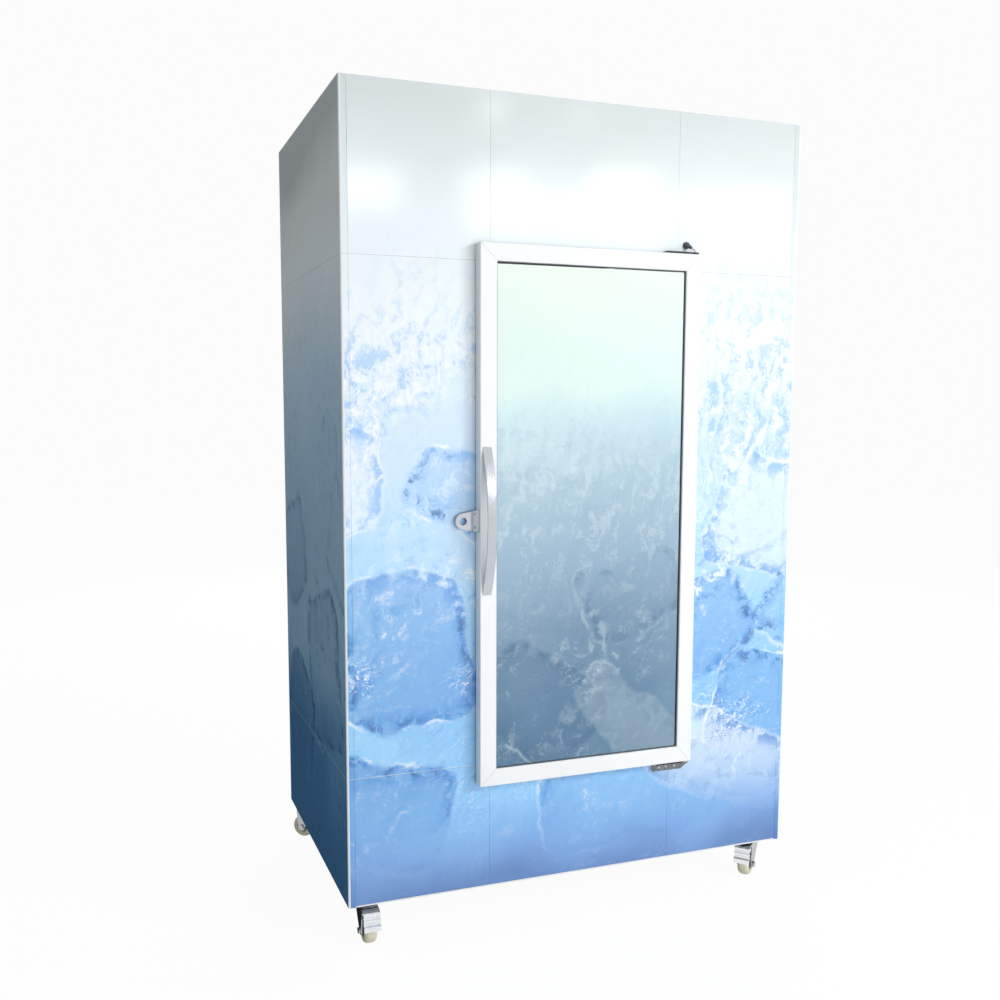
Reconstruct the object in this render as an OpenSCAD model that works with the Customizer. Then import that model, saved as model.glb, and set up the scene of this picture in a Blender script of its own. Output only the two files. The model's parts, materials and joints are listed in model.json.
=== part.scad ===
// Upright ice merchandiser freezer: an insulated steel cabinet on four swivel casters, with one
// hinged glass door and a machine room above the ceiling.
// Millimetres, +Z up, the front faces -Y, and the floor is at z = 0 under the middle of the object.

/* [Cabinet body] */
// Width of the cabinet body, side to side
body_w = 1220; // [1120:10:1400]
// Depth of the cabinet body, front to back
body_d = 780; // [740:10:900]
// Thickness of the steel outer panels
sheet_t = 1; // [0.8:0.1:1.5]
// Overall thickness of an insulated wall
wall_t = 60; // [50:1:70]
// Height of the inner floor above the bottom of the body
floor_t = 120; // [100:5:140]
// Height of the inner ceiling above the door opening
head_h = 26; // [22:1:60]
// Thickness of the insulated ceiling
ceiling_t = 70; // [50:2:90]
// Height of the machine room above its deck
machine_h = 288; // [272:2:310]
// Width of the strip that each side panel folds round onto the front and the back
corner_strip = 18; // [14:1:24]
// Outer radius of the body's upright edges
corner_r = 4; // [2:0.5:6]
// Height of the base pan's walls
base_h = 45; // [30:5:60]
// Thickness of the base pan's steel
base_t = 2; // [1.5:0.5:3]
// Thickness of the inner liner
liner_t = 1; // [0.8:0.1:2]
// Thickness of the deck under the machine room
deck_t = 2; // [1.5:0.5:3]
// Depth of the top panel's folded edge
top_fold = 20; // [15:1:30]
// Width of the seams between outer panels
seam = 0.5; // [0.3:0.1:1]

/* [Door opening] */
// Width of the door opening
open_w = 502; // [420:2:560]
// Height of the door opening
open_h = 1218; // [1000:2:1230]
// Height of the opening's lower edge above the bottom of the body
open_z = 316; // [300:2:330]
// Thickness of the plastic throat that lines the opening
throat_t = 2.5; // [1.5:0.5:4]

/* [Door] */
// Width by which the door laps the front on the handle side
lap_left = 38; // [34:1:46]
// Width by which the door laps the front on the hinge side
lap_right = 48; // [40:1:56]
// Height by which the door laps the front below the opening
lap_bottom = 45; // [36:1:50]
// Height by which the door laps the front above the opening
lap_top = 37; // [34:1:44]
// Thickness of the door frame
door_t = 31.5; // [30:0.5:36]
// Gap between the cabinet front and the back of the door, which the seal fills
door_gap = 4.5; // [4:0.1:6]
// Width of the door frame's face
frame_w = 42; // [38:1:50]
// Thickness of the frame's front lip
lip_t = 6; // [4:0.5:7]
// Width by which the frame's lip covers the glass
glass_lap = 12; // [8:1:14]
// Thickness of each glass pane
pane_t = 4; // [3:0.5:5]
// Thickness of the spacer between the panes
spacer_t = 12; // [8:0.5:12]
// Gap at the frame's mitred corners
mitre_gap = 0.3; // [0.2:0.1:0.6]
// Width of the magnetic seal
seal_w = 16; // [12:1:18]
// Distance from the opening's edge to the magnetic seal
seal_in = 4; // [2:0.5:6]

/* [Handle] */
// Length of the bow handle
handle_len = 356; // [250:2:500]
// Width of the handle's strap
handle_w = 23; // [18:1:28]
// Thickness of the handle's strap
handle_t = 6.5; // [5:0.5:9]
// Reach of the handle's bow from the face of the door
handle_reach = 39; // [34:1:50]
// Height of the handle's middle above the door's lower edge
handle_z = 650; // [400:10:900]
// Distance from the door's edge to the middle of the handle
handle_in = 17; // [14:1:22]

/* [Hinges] */
// Distance from the door's edge to the pivot axis
pivot_in = 12; // [12:0.5:14]
// Distance from the door's front face to the pivot axis
pivot_back = 13; // [12:0.5:13]
// Thickness of the hinge brackets
bracket_t = 3; // [2.5:0.5:3.5]
// Width of the hinge brackets' fixing legs
bracket_w = 64; // [50:1:80]
// Radius of the lower pivot pin
pin_r = 5; // [4:0.5:6]
// Radius of the upper, hollow pivot pin
hollow_pin_r = 6; // [5.5:0.5:6.5]
// Radius of the door's pivot bushes
bush_r = 9; // [8.5:0.5:10]

/* [Hasp] */
// Height of the hasp's fixing leg
hasp_h = 52; // [44:1:64]
// Distance from the door's edge to the middle of the padlock hole
hasp_reach = 35; // [31:1:44]
// Radius of the hasp's rounded tip
hasp_r = 19; // [16:0.5:22]
// Radius of the padlock hole
padlock_r = 9.2; // [6:0.2:11]
// Thickness of the hasp and of its keeper
hasp_t = 2.5; // [2:0.5:3]

/* [Casters] */
// Overall height of a caster
caster_h = 108; // [104:1:116]
// Radius of a caster's wheel
wheel_r = 32.5; // [31:0.5:38]
// Width of a wheel's tread
wheel_w = 31; // [27:1:32]
// Distance from the swivel axis to the axle
trail = 28; // [27:1:32]
// Distance from the body's sides to the swivel axes
caster_in = 56; // [54:1:80]
// Distance from the front to the front swivel axes
caster_front = 62; // [54:1:110]
// Distance from the back to the rear swivel axes
caster_back = 54; // [54:1:90]
// Width between the cheeks of a fork
fork_gap = 36; // [34.5:0.5:39]
// Thickness of a fork's steel
fork_t = 3; // [2:0.5:3.5]
// Radius of a wheel's axle
axle_r = 4; // [3:0.5:5]
// Length of a caster's top plate
plate_l = 92; // [88:1:104]
// Width of a caster's top plate
plate_w = 66; // [60:1:76]

/* [Cooling] */
// Width of the evaporator's cover
evap_w = 700; // [600:10:800]
// Depth of the evaporator's cover
evap_d = 240; // [230:5:260]
// Height of the evaporator's cover
evap_h = 190; // [180:2:220]
// Radius of the evaporator's fans
evap_fan_r = 75; // [60:1:80]
// Width of the condenser coil
cond_w = 420; // [340:10:480]
// Height of the condenser coil
cond_h = 240; // [220:5:250]
// Radius of the condenser's fan
cond_fan_r = 90; // [70:1:100]
// Radius of the compressor's shell
comp_r = 85; // [70:1:95]
// Radius of the suction pipe
suction_r = 7; // [5:0.5:9]
// Radius of the liquid and discharge pipes
liquid_r = 4; // [3:0.5:5]
// Outer radius of the drain tube
drain_r = 10; // [8:0.5:12]

/* [Fittings] */
// Distance that the rear fittings stand out from the back
rear_out = 14; // [12:1:20]
// Radius of the supply cord's hole in its gland
cord_hole_r = 4.5; // [3:0.5:6]
// Height of the floor rack
rack_h = 25; // [20:1:35]
// Number of slats in the floor rack
rack_slats = 16; // [10:1:20]
// Width of the lamp
lamp_w = 22; // [18:1:30]
// Radius of the thermostat's knob
knob_r = 18; // [14:0.5:20]

/* [Hidden] */
$fn = 48;

// Clearances: between nested pieces, between pieces that move apart, and round a turning pin.
fit = 0.2;
gap = 0.3;
run = 0.06;

// The cabinet's own frame has its origin at the body's lower left front corner, seen from the front.
rear_y = body_d - sheet_t;
front_y = -(body_d + rear_out - door_gap - door_t - handle_reach) / 2;
skin = sheet_t + fit;
foam_t = wall_t - liner_t - fit;
open_x = (body_w - open_w) / 2;
open_x1 = open_x + open_w;
open_z1 = open_z + open_h;
inner_top = open_z1 + head_h;
ceiling_top = inner_top + ceiling_t;
deck_z = ceiling_top + deck_t;
body_h = deck_z + machine_h;
lip_h = 3.5;

// The door's frame has its origin at the lower left front corner of the closed door.
door_w = open_w + lap_left + lap_right;
door_h = open_h + lap_bottom + lap_top;
door_x = open_x - lap_left;
door_z = open_z - lap_bottom;
door_y = -door_gap - door_t;
glazing_t = 1;
glass_t = 2 * pane_t + spacer_t;
rebate = frame_w - glass_lap;
bead_w = frame_w - 4;
glass_in = rebate + 0.5;
glass_y = lip_t + glazing_t;
frame_chamfer = 1.5;
groove_w = 4;
groove_d = 1.5;
pivot_x = door_w - pivot_in;
top_bush_l = 20;
bottom_bush_l = 18;
washer_t = 3;
top_gap = 2;

// The hinge brackets, in the door's frame.
leg_x1 = door_w - 32;
leg_x0 = leg_x1 - bracket_w;
leg_drop = 27;
top_leg_drop = 15;
screw_r = 2;
screw_head_r = 3.6;
screw_head_t = 1.8;
hinge_screw_x = [leg_x0 + 19, leg_x0 + 40, leg_x0 + 65];
hinge_screw_z = -washer_t - gap - bracket_t - 13;

// The heater lead's gland, above the upper hinge, and the lead into the hollow pin.
gland_x = door_x + pivot_x - 13;
gland_z = door_z + door_h + 25;
gland_r = 9;
gland_flange = 2;
gland_cap_r = 7;
gland_cap_out = 8;
gland_nose_r = 4;
gland_nose_out = 12.5;
boot_r = 6;
boot_l = 14;
boot_wall = 1.2;
lead_r = 2.2;
lead_bend_z = 11;
lead_seat = 4;

// The hasp stands between the door's front and the cabinet.
hasp_z = handle_z;
hasp_tab_y = -10.8;
hasp_leg_d = 22;

// Both coils: their fins, their tubes, and the tubes' bends beyond the outermost fins.
fin_t = 1.2;
coil_bend = 12;
coil_tube_r = 5;
coil_foot_t = 2;

// The fans' shafts turn in their motors, and the rotors sit in front of these.
shaft_r = 4;
shaft_run = 0.05;
shaft_depth = 20;
rotor_depth = 24;
rotor_gap = 8;
strap_t = 3;

// The evaporator hangs from the ceiling at the back, and the other pieces stand on the deck.
evap_x = (body_w - evap_w) / 2;
evap_y1 = body_d - wall_t - 24;
evap_y = evap_y1 - evap_d;
evap_z1 = inner_top - gap;
evap_z = evap_z1 - evap_h;
evap_t = 1.5;
evap_fan_x = [evap_x + evap_w * 0.27, evap_x + evap_w * 0.73];
evap_fan_z = evap_z + evap_h / 2;
evap_motor_y = evap_y + 40;
evap_motor_l = 60;
evap_motor_r = 28;
evap_hub_r = 18;
evap_coil_y = evap_motor_y + evap_motor_l + 20;
evap_coil_side = 30;
evap_coil_up = 15;
evap_coil_back = 12;
evap_coil_z1 = evap_z1 - evap_coil_up;
guard_rim = 3;
cond_x = body_w - 160 - cond_w;
cond_t = 60;
cond_y = body_d - 90;
cond_foot = 8;
cond_mid_x = cond_x + cond_w / 2;
cond_mid_z = deck_z + cond_foot + cond_h / 2;
shroud_d = 48;
shroud_in = 14;
shroud_wall = 1.5;
cond_motor_l = 60;
cond_motor_r = 36;
cond_motor_out = 12;
brace_w = 24;
brace_out = 30;
cond_hub_r = 26;
cond_rotor_depth = 28;
comp_x = 300;
comp_y = body_d - 260;
comp_foot = 16;
comp_foot_r = 12;
comp_foot_in = 14;
comp_plate_t = 4;
comp_plate_out = 30;
comp_shell_h = 168;
comp_seam_z = 67;
comp_seam_out = 4;
comp_box_w = 60;
comp_box_out = 22;
comp_box_z = 40;
comp_box_h = 65;
suction_x = comp_x + comp_r + 65;
suction_y = body_d - 140;
liquid_x = suction_x + 40;
liquid_y = suction_y + 20;
pipe_gap = 4;
pipe_up = 130;
discharge_down = 55;
discharge_in = 25;
riser_out = 60;
inlet_down = 64;
outlet_up = 30;
dryer_r = 13;
dryer_l = 28;
drain_x = evap_x + evap_w - 60;
drain_y = evap_y1 - 45;
drain_z = evap_z - 22;
drain_wall = 2;
drain_neck_r = drain_r - 1;
drain_stop = 1;

// The controls on the back, at the left of the machine room seen from the front.
control_x = 60;
control_w = 190;
control_h = 180;
control_d = 70;
control_z = deck_z + 40;
control_wall = 2;
control_y1 = rear_y - fit;
control_mid = control_x + control_w / 2;
switch_z = control_z + control_h - 38;
knob_z = control_z + 92;
cord_z = control_z + 34;
rocker_w = 17;
rocker_h = 25;
rocker_tilt = 8;
rocker_pin_r = 1.5;
bezel_t = 2.5;
bezel_wall = 2.5;
cord_gland_wall = 3.5;
knob_l = 11;
knob_shaft_r = 3;

// The back's removable cover and its slots.
grille_z = ceiling_top - 40;
slot_rows = 10;
slot_pitch = 22;
slot_h = 9;
vent_slots = 16;
vent_pitch = 26;

// The floor rack and the lamp stand clear of the liner.
rack_in = 8;
slat_w = 34;
slat_t = 10;
lamp_d = 24;
lamp_end = 26;
lamp_in = 30;
lamp_out = 14;

// Each caster: where its swivel axis is, and which way its wheel trails.
CASTERS = [
    [caster_in, caster_front, -90],
    [body_w - caster_in, caster_front, -140],
    [caster_in, body_d - caster_back, 140],
    [body_w - caster_in, body_d - caster_back, 35]
];
plate_t = 3;
race_r = 26;
race_t = 6;
kingpin_r = 6;
kingpin_head_r = 10;
fork_top = plate_t + race_t + gap;
fork_crown = 7;
axle_z = wheel_r - caster_h;
cheek_end = 11;
pedal_x = trail + 8;
pedal_z = -fork_top - 14;
pedal_pin_r = 3;
pedal_lug_r = 6;
hub_r = 12;
cheek_top = 15;

// ---------------------------------------------------------------------- frames and small helpers

// Places what is drawn in the cabinet's own frame.
module in_cabinet() {
    translate([-body_w / 2, front_y, caster_h]) children();
}

// Places what is drawn in the closed door's frame.
module in_door() {
    in_cabinet() translate([door_x, door_y, door_z]) children();
}

// Places what is drawn about a caster's swivel axis, with the wheel trailing towards +X.
module at_caster(number) {
    place = CASTERS[number];
    in_cabinet() translate([place[0], place[1], 0]) rotate([0, 0, place[2]]) children();
}

// A block between two corners.
module block(low, high) {
    translate(low) cube(high - low);
}

// A block between two corners whose upright edges are cut back, to clear the side panels' folds.
module cut_block(low, high) {
    cut = corner_r - skin;
    translate([0, 0, low[2]]) linear_extrude(high[2] - low[2]) polygon([
        [low[0] + cut, low[1]], [high[0] - cut, low[1]], [high[0], low[1] + cut],
        [high[0], high[1] - cut], [high[0] - cut, high[1]], [low[0] + cut, high[1]],
        [low[0], high[1] - cut], [low[0], low[1] + cut]]);
}

// A rod along Y, from a point towards +Y.
module rod_y(start, r, l) {
    translate(start) rotate([-90, 0, 0]) cylinder(r = r, h = l);
}

// A rod along X, from a point towards +X.
module rod_x(start, r, l) {
    translate(start) rotate([0, 90, 0]) cylinder(r = r, h = l);
}

// A rod between any two points.
module rod(from, to, r) {
    way = to - from;
    flat = norm([way[0], way[1]]);
    translate(from) rotate([0, atan2(flat, way[2]), atan2(way[1], way[0])])
        cylinder(r = r, h = norm(way));
}

// A pipe along a list of points, with a ball at each bend that stands just proud of the pipe.
module pipe(points, r) {
    for (i = [1 : len(points) - 1]) rod(points[i - 1], points[i], r);
    for (i = [1 : 1 : len(points) - 2]) translate(points[i]) sphere(r = r + 0.05);
}

// ------------------------------------------------------------------------------- outer panels

// The section of a side panel: a web with a rounded fold at each end.
module side_section() {
    translate([0, corner_r]) square([sheet_t, body_d - 2 * corner_r]);
    for (back = [0, 1]) translate([0, back * body_d]) mirror([0, back]) {
        translate([corner_r, 0]) square([corner_strip - corner_r, sheet_t]);
        intersection() {
            square(corner_r);
            translate([corner_r, corner_r]) difference() {
                circle(r = corner_r);
                circle(r = corner_r - sheet_t);
            }
        }
    }
}

module left_side_panel() {
    color("slategray") in_cabinet() linear_extrude(body_h) side_section();
}

module right_side_panel() {
    color("slategray") in_cabinet() translate([body_w, 0, 0]) mirror([1, 0, 0])
        linear_extrude(body_h) side_section();
}

module base_pan() {
    outer = [body_w - skin, body_d - skin, base_h];
    color("gainsboro") in_cabinet() {
        difference() {
            cut_block([skin, skin, 0], outer);
            block([skin + base_t, skin + base_t, base_t],
                  [outer[0] - base_t, outer[1] - base_t, base_h + 1]);
        }
        for (y = [0, rear_y - fit - base_t]) block(
            [corner_strip + seam, y, 0], [body_w - corner_strip - seam, y + skin + base_t, lip_h]);
    }
}

// One flat sheet of the front, with its front face at y = 0.
module front_sheet(x0, x1, z0, z1) {
    block([x0, 0, z0], [x1, sheet_t, z1]);
}

module front_left_panel() {
    color("lightsteelblue") in_cabinet()
        front_sheet(corner_strip + seam, open_x - seam, lip_h + seam, body_h);
}

module front_right_panel() {
    color("lightsteelblue") in_cabinet() difference() {
        front_sheet(open_x1 + seam, body_w - corner_strip - seam, lip_h + seam, body_h);
        rod_y([gland_x, -1, gland_z], gland_r / 2 + fit, sheet_t + 2);
        hinge_screw_holes(sheet_t);
    }
}

module front_header_panel() {
    color("aliceblue") in_cabinet() front_sheet(open_x, open_x1, open_z1, body_h);
}

module front_sill_panel() {
    color("steelblue") in_cabinet() difference() {
        front_sheet(open_x, open_x1, lip_h + seam, open_z);
        hinge_screw_holes(sheet_t);
    }
}

module rear_panel() {
    color("gainsboro") in_cabinet() difference() {
        block([corner_strip + seam, rear_y, lip_h + seam],
              [body_w - corner_strip - seam, body_d, grille_z - seam]);
        drain_hole();
    }
}

// The places of the screws that hold the rear cover.
function cover_screws() = [for (x = [corner_strip + 14, body_w / 2, body_w - corner_strip - 14])
    for (z = [grille_z + 14, body_h - top_fold - 12]) [x, z]];

module rear_grille() {
    color("silver") in_cabinet() difference() {
        block([corner_strip + seam, rear_y, grille_z],
              [body_w - corner_strip - seam, body_d, body_h]);
        for (i = [0 : slot_rows - 1]) block(
            [cond_x, rear_y - 1, deck_z + 25 + i * slot_pitch],
            [cond_x + cond_w, body_d + 1, deck_z + 25 + slot_h + i * slot_pitch]);
        block([control_mid - bezel_x(), rear_y - 1, switch_z - bezel_z()],
              [control_mid + bezel_x(), body_d + 1, switch_z + bezel_z()]);
        rod_y([control_mid, rear_y - 1, knob_z], knob_shaft_r + 1, sheet_t + 2);
        rod_y([control_mid, rear_y - 1, cord_z], cord_hole_r + cord_gland_wall + fit, sheet_t + 2);
        for (p = cover_screws()) rod_y([p[0], rear_y - 1, p[1]], screw_r + fit, sheet_t + 2);
    }
}

module top_panel() {
    low = body_h - top_fold;
    color("gainsboro") in_cabinet() difference() {
        cut_block([skin, skin, low], [body_w - skin, body_d - skin, body_h]);
        block([skin + sheet_t, skin + sheet_t, low - 1],
              [body_w - skin - sheet_t, body_d - skin - sheet_t, body_h - sheet_t]);
        for (i = [0 : vent_slots - 1]) translate(
            [cond_mid_x + (i - (vent_slots - 1) / 2) * vent_pitch, cond_y - 170, body_h - 5])
            translate([-5, -60, 0]) cube([10, 120, 10]);
    }
}

module machine_deck() {
    color("silver") in_cabinet() difference() {
        cut_block([skin, skin, ceiling_top], [body_w - skin, body_d - skin, deck_z]);
        pipe_holes(ceiling_top - 1, deck_z + 1);
    }
}

// The holes for the two pipes that go down to the evaporator.
module pipe_holes(z0, z1) {
    translate([suction_x, suction_y, z0]) cylinder(r = suction_r + pipe_gap, h = z1 - z0);
    translate([liquid_x, liquid_y, z0]) cylinder(r = liquid_r + pipe_gap, h = z1 - z0);
}

// The hole for the drain, through the rear wall.
module drain_hole() {
    rod_y([drain_x, body_d - wall_t - 5, drain_z], drain_neck_r + fit, wall_t + 10);
}

// --------------------------------------------------------------------- insulation and lining

module cabinet_insulation() {
    z0 = base_h + fit;
    z1 = ceiling_top - fit;
    in_x = foam_t + fit;
    tray = skin + base_t + fit;
    color("khaki") in_cabinet() {
        for (x = [skin, body_w - foam_t]) intersection() {
            cut_block([skin, skin, z0], [body_w - skin, body_d - skin, z1]);
            block([x, 0, z0], [x + foam_t - skin, body_d, z1]);
        }
        difference() {
            block([in_x, body_d - foam_t, z0], [body_w - in_x, body_d - skin, z1]);
            drain_hole();
        }
        block([tray, tray, base_t + fit], [body_w - tray, body_d - tray, base_h]);
        block([in_x, in_x, z0], [body_w - in_x, body_d - in_x, floor_t - liner_t - fit]);
        difference() {
            block([in_x, in_x, inner_top + liner_t + fit], [body_w - in_x, body_d - in_x, z1]);
            pipe_holes(inner_top, ceiling_top);
        }
    }
}

module front_insulation() {
    z0 = base_h + fit;
    z1 = ceiling_top - fit;
    in_x = foam_t + fit;
    color("khaki") in_cabinet() {
        block([in_x, skin, z0], [open_x - fit, foam_t, z1]);
        block([open_x1 + fit, skin, z0], [body_w - in_x, foam_t, z1]);
        block([open_x, skin, z0], [open_x1, foam_t, open_z - fit]);
        block([open_x, skin, open_z1 + fit], [open_x1, foam_t, z1]);
    }
}

module inner_liner() {
    out = wall_t - liner_t;
    color("white") in_cabinet() difference() {
        block([out, out, floor_t - liner_t], [body_w - out, body_d - out, inner_top + liner_t]);
        block([wall_t, wall_t, floor_t], [body_w - wall_t, body_d - wall_t, inner_top]);
        block([open_x - fit, out - 1, open_z - fit], [open_x1 + fit, wall_t + 1, open_z1 + fit]);
        pipe_holes(inner_top - 1, inner_top + liner_t + 1);
        drain_hole();
    }
}

module door_throat() {
    flange = 10;
    flange_t = 2;
    back = wall_t + fit;
    color("white") in_cabinet() difference() {
        union() {
            block([open_x, fit, open_z], [open_x1, back + flange_t, open_z1]);
            block([open_x - flange, back, open_z - flange],
                  [open_x1 + flange, back + flange_t, open_z1 + flange]);
        }
        block([open_x + throat_t, -1, open_z + throat_t],
              [open_x1 - throat_t, back + flange_t + 1, open_z1 - throat_t]);
    }
}

// The lamp stands upright on the liner, beside the opening on the handle side.
module cabinet_lamp() {
    x = open_x - lamp_out - lamp_w / 2;
    lens_r = lamp_w / 2 - 2;
    z0 = open_z + lamp_in;
    z1 = open_z1 - lamp_in;
    y0 = wall_t + gap;
    color("whitesmoke") in_cabinet() {
        block([x - lamp_w / 2, y0, z0], [x + lamp_w / 2, y0 + lamp_d - lens_r, z1]);
        translate([x, y0 + lamp_d - lens_r, z0 + lamp_end])
            cylinder(r = lens_r, h = z1 - z0 - 2 * lamp_end);
        for (z = [z0, z1 - lamp_end])
            block([x - lamp_w / 2, y0, z], [x + lamp_w / 2, y0 + lamp_d, z + lamp_end]);
    }
}

module floor_rack() {
    x0 = wall_t + rack_in;
    x1 = body_w - wall_t - rack_in;
    y0 = wall_t + rack_in;
    y1 = body_d - wall_t - rack_in;
    z0 = floor_t + gap;
    top = z0 + rack_h;
    step = (x1 - x0 - slat_w) / (rack_slats - 1);
    color("lightgray") in_cabinet() {
        for (i = [0 : 2]) {
            y = y0 + 20 + i * (y1 - y0 - 60) / 2;
            block([x0, y, z0], [x1, y + 20, top - slat_t]);
        }
        for (i = [0 : rack_slats - 1])
            block([x0 + i * step, y0, top - slat_t], [x0 + i * step + slat_w, y1, top]);
    }
}

// --------------------------------------------------------------------------- cooling system

// A finned coil: upright fins along X, two columns of tubes with their return bends, and two feet.
module finned_coil(low, high, fins, rows, foot) {
    size = high - low;
    step = (size[0] - 2 * coil_bend - fin_t) / (fins - 1);
    near = low[1] + size[1] / 4;
    far = low[1] + size[1] * 3 / 4;
    for (i = [0 : fins - 1])
        block([low[0] + coil_bend + i * step, low[1], low[2]],
              [low[0] + coil_bend + i * step + fin_t, high[1], high[2]]);
    for (row = [0 : rows - 1]) {
        z = low[2] + size[2] * (row + 0.5) / rows;
        for (y = [near, far]) rod_x([low[0], y, z], coil_tube_r, size[0]);
        for (x = [low[0] + coil_tube_r, high[0] - coil_tube_r])
            rod_y([x, near, z], coil_tube_r * 0.8, far - near);
    }
    for (x = [low[0] + coil_bend, high[0] - coil_bend - coil_foot_t])
        block([x, low[1], foot], [x + coil_foot_t, high[1], low[2] + coil_tube_r * 2]);
}

module evaporator_coil() {
    low = [evap_x + evap_coil_side, evap_coil_y, evap_z + evap_coil_up];
    high = [evap_x + evap_w - evap_coil_side, evap_y1 - evap_coil_back, evap_coil_z1];
    color("silver") in_cabinet() finned_coil(low, high, 22, 4, evap_z + evap_t + gap);
}

// A round guard pressed from flat steel: rings and spokes across a fan's opening, facing -Y.
module fan_guard(r, t) {
    for (ring = [r, r * 0.72, r * 0.44]) difference() {
        rod_y([0, 0, 0], ring + guard_rim, t);
        rod_y([0, -1, 0], ring, t + 2);
    }
    for (a = [0 : 60 : 300]) rotate([0, a, 0])
        block([r * 0.44 + 1, 0, -guard_rim / 2], [r + 1, t, guard_rim / 2]);
}

module evaporator_cover() {
    x1 = evap_x + evap_w;
    opening_r = evap_fan_r + 3;
    color("white") in_cabinet() {
        difference() {
            block([evap_x, evap_y, evap_z], [x1, evap_y1, evap_z1]);
            block([evap_x + evap_t, evap_y + evap_t, evap_z + evap_t],
                  [x1 - evap_t, evap_y1 + 1, evap_z1 - evap_t]);
            for (x = evap_fan_x) rod_y([x, evap_y - 1, evap_fan_z], opening_r, evap_t + 2);
            pipe_holes(evap_z1 - evap_t - 1, evap_z1 + 1);
            translate([drain_x, drain_y, evap_z - 1])
                cylinder(r = drain_neck_r - drain_wall, h = evap_t + 2);
        }
        for (x = evap_fan_x) translate([x, evap_y, evap_fan_z]) fan_guard(opening_r - 2, evap_t);
    }
}

// One of the evaporator's motors, with a bored nose, held by an upright strap between two heights.
module fan_motor(x, z0, z1) {
    strap_y = evap_motor_y + strap_t;
    difference() {
        union() {
            rod_y([x, evap_motor_y, evap_fan_z], evap_motor_r, evap_motor_l);
            block([x - evap_motor_r / 2, strap_y, z0],
                  [x + evap_motor_r / 2, strap_y + strap_t, z1]);
        }
        rod_y([x, evap_motor_y - 1, evap_fan_z], shaft_r + shaft_run, shaft_depth + 1);
    }
}

module evaporator_motors() {
    color("dimgray") in_cabinet() for (x = evap_fan_x)
        fan_motor(x, evap_z + evap_t + gap, evap_z1 - evap_t - gap);
}

// A fan rotor about the Y axis, blowing towards -Y, whose shaft runs back into its motor.
module fan_rotor(r, hub, depth, shaft_l) {
    blades = 5;
    pitch = 32;
    blade_t = 2;
    root = hub - 3;
    rotate([-90, 0, 0]) {
        cylinder(r = hub, h = depth);
        cylinder(r = shaft_r, h = depth + shaft_l);
        intersection() {
            cylinder(r = r, h = depth);
            for (i = [0 : blades - 1]) rotate([0, 0, i * 360 / blades])
                translate([0, 0, depth / 2]) rotate([pitch, 0, 0])
                    translate([0, 0, -blade_t / 2]) linear_extrude(blade_t)
                        polygon([[root, -hub / 3], [r + 5, -r / 3], [r + 5, r / 3], [root, hub / 3]]);
        }
    }
}

module evaporator_fan(side) {
    color("black") in_cabinet()
        translate([evap_fan_x[side], evap_motor_y - rotor_gap - rotor_depth, evap_fan_z])
            fan_rotor(evap_fan_r, evap_hub_r, rotor_depth, rotor_gap + shaft_depth - 4);
}

module evaporator_fan_left() {
    evaporator_fan(0);
}

module evaporator_fan_right() {
    evaporator_fan(1);
}

// The drain leaves the evaporator's tray, turns back and goes out through the rear wall.
module drain_way(r, cut) {
    translate([drain_x, drain_y, drain_z]) cylinder(r = r, h = evap_z - gap - drain_z + cut);
    translate([drain_x, drain_y, drain_z]) sphere(r = r);
    rod_y([drain_x, drain_y, drain_z], r, body_d + rear_out - drain_y + cut);
}

module drain_tube() {
    color("white") in_cabinet() difference() {
        union() {
            drain_way(drain_neck_r, 0);
            rod_y([drain_x, body_d + drain_stop, drain_z], drain_r, rear_out - drain_stop);
        }
        drain_way(drain_neck_r - drain_wall, 1);
    }
}

// A hermetic compressor on a plate with four rubber feet.
module compressor() {
    plate_x = comp_r + comp_plate_out;
    plate_y = comp_r - 5;
    base = deck_z + comp_foot;
    seam_r = comp_r + comp_seam_out;
    color("black") in_cabinet() translate([comp_x, comp_y, 0]) {
        for (x = [-1, 1], y = [-1, 1])
            translate([x * (plate_x - comp_foot_in), y * (plate_y - comp_foot_in), deck_z])
                cylinder(r = comp_foot_r, h = comp_foot);
        block([-plate_x, -plate_y, base], [plate_x, plate_y, base + comp_plate_t]);
        translate([0, 0, base + comp_plate_t]) rotate_extrude() polygon([
            [0, 0], [comp_r - 8, 0], [comp_r, 10], [comp_r, comp_seam_z - 5],
            [seam_r, comp_seam_z - 3], [seam_r, comp_seam_z + 3], [comp_r, comp_seam_z + 5],
            [comp_r, comp_shell_h - 46], [comp_r - 10, comp_shell_h - 20],
            [comp_r - 38, comp_shell_h - 4], [0, comp_shell_h]]);
        block([-comp_box_w / 2, -comp_r - comp_box_out, base + comp_box_z],
              [comp_box_w / 2, 0, base + comp_box_z + comp_box_h]);
    }
}

module condenser_coil() {
    low = [cond_x, cond_y, deck_z + cond_foot];
    high = [cond_x + cond_w, cond_y + cond_t, deck_z + cond_foot + cond_h];
    color("dimgray") in_cabinet() finned_coil(low, high, 24, 5, deck_z);
}

module fan_shroud() {
    y1 = cond_y - gap;
    y0 = y1 - shroud_d;
    x0 = cond_x + shroud_in;
    x1 = cond_x + cond_w - shroud_in;
    z0 = deck_z + gap;
    z1 = deck_z + cond_foot + cond_h;
    wall = shroud_wall;
    color("silver") in_cabinet() difference() {
        block([x0, y0, z0], [x1, y1, z1]);
        block([x0 + wall, y0 + wall, z0 + wall], [x1 - wall, y1 + 1, z1 - wall]);
        rod_y([cond_mid_x, y0 - 1, cond_mid_z], cond_fan_r + 5, wall + 2);
    }
}

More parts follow.
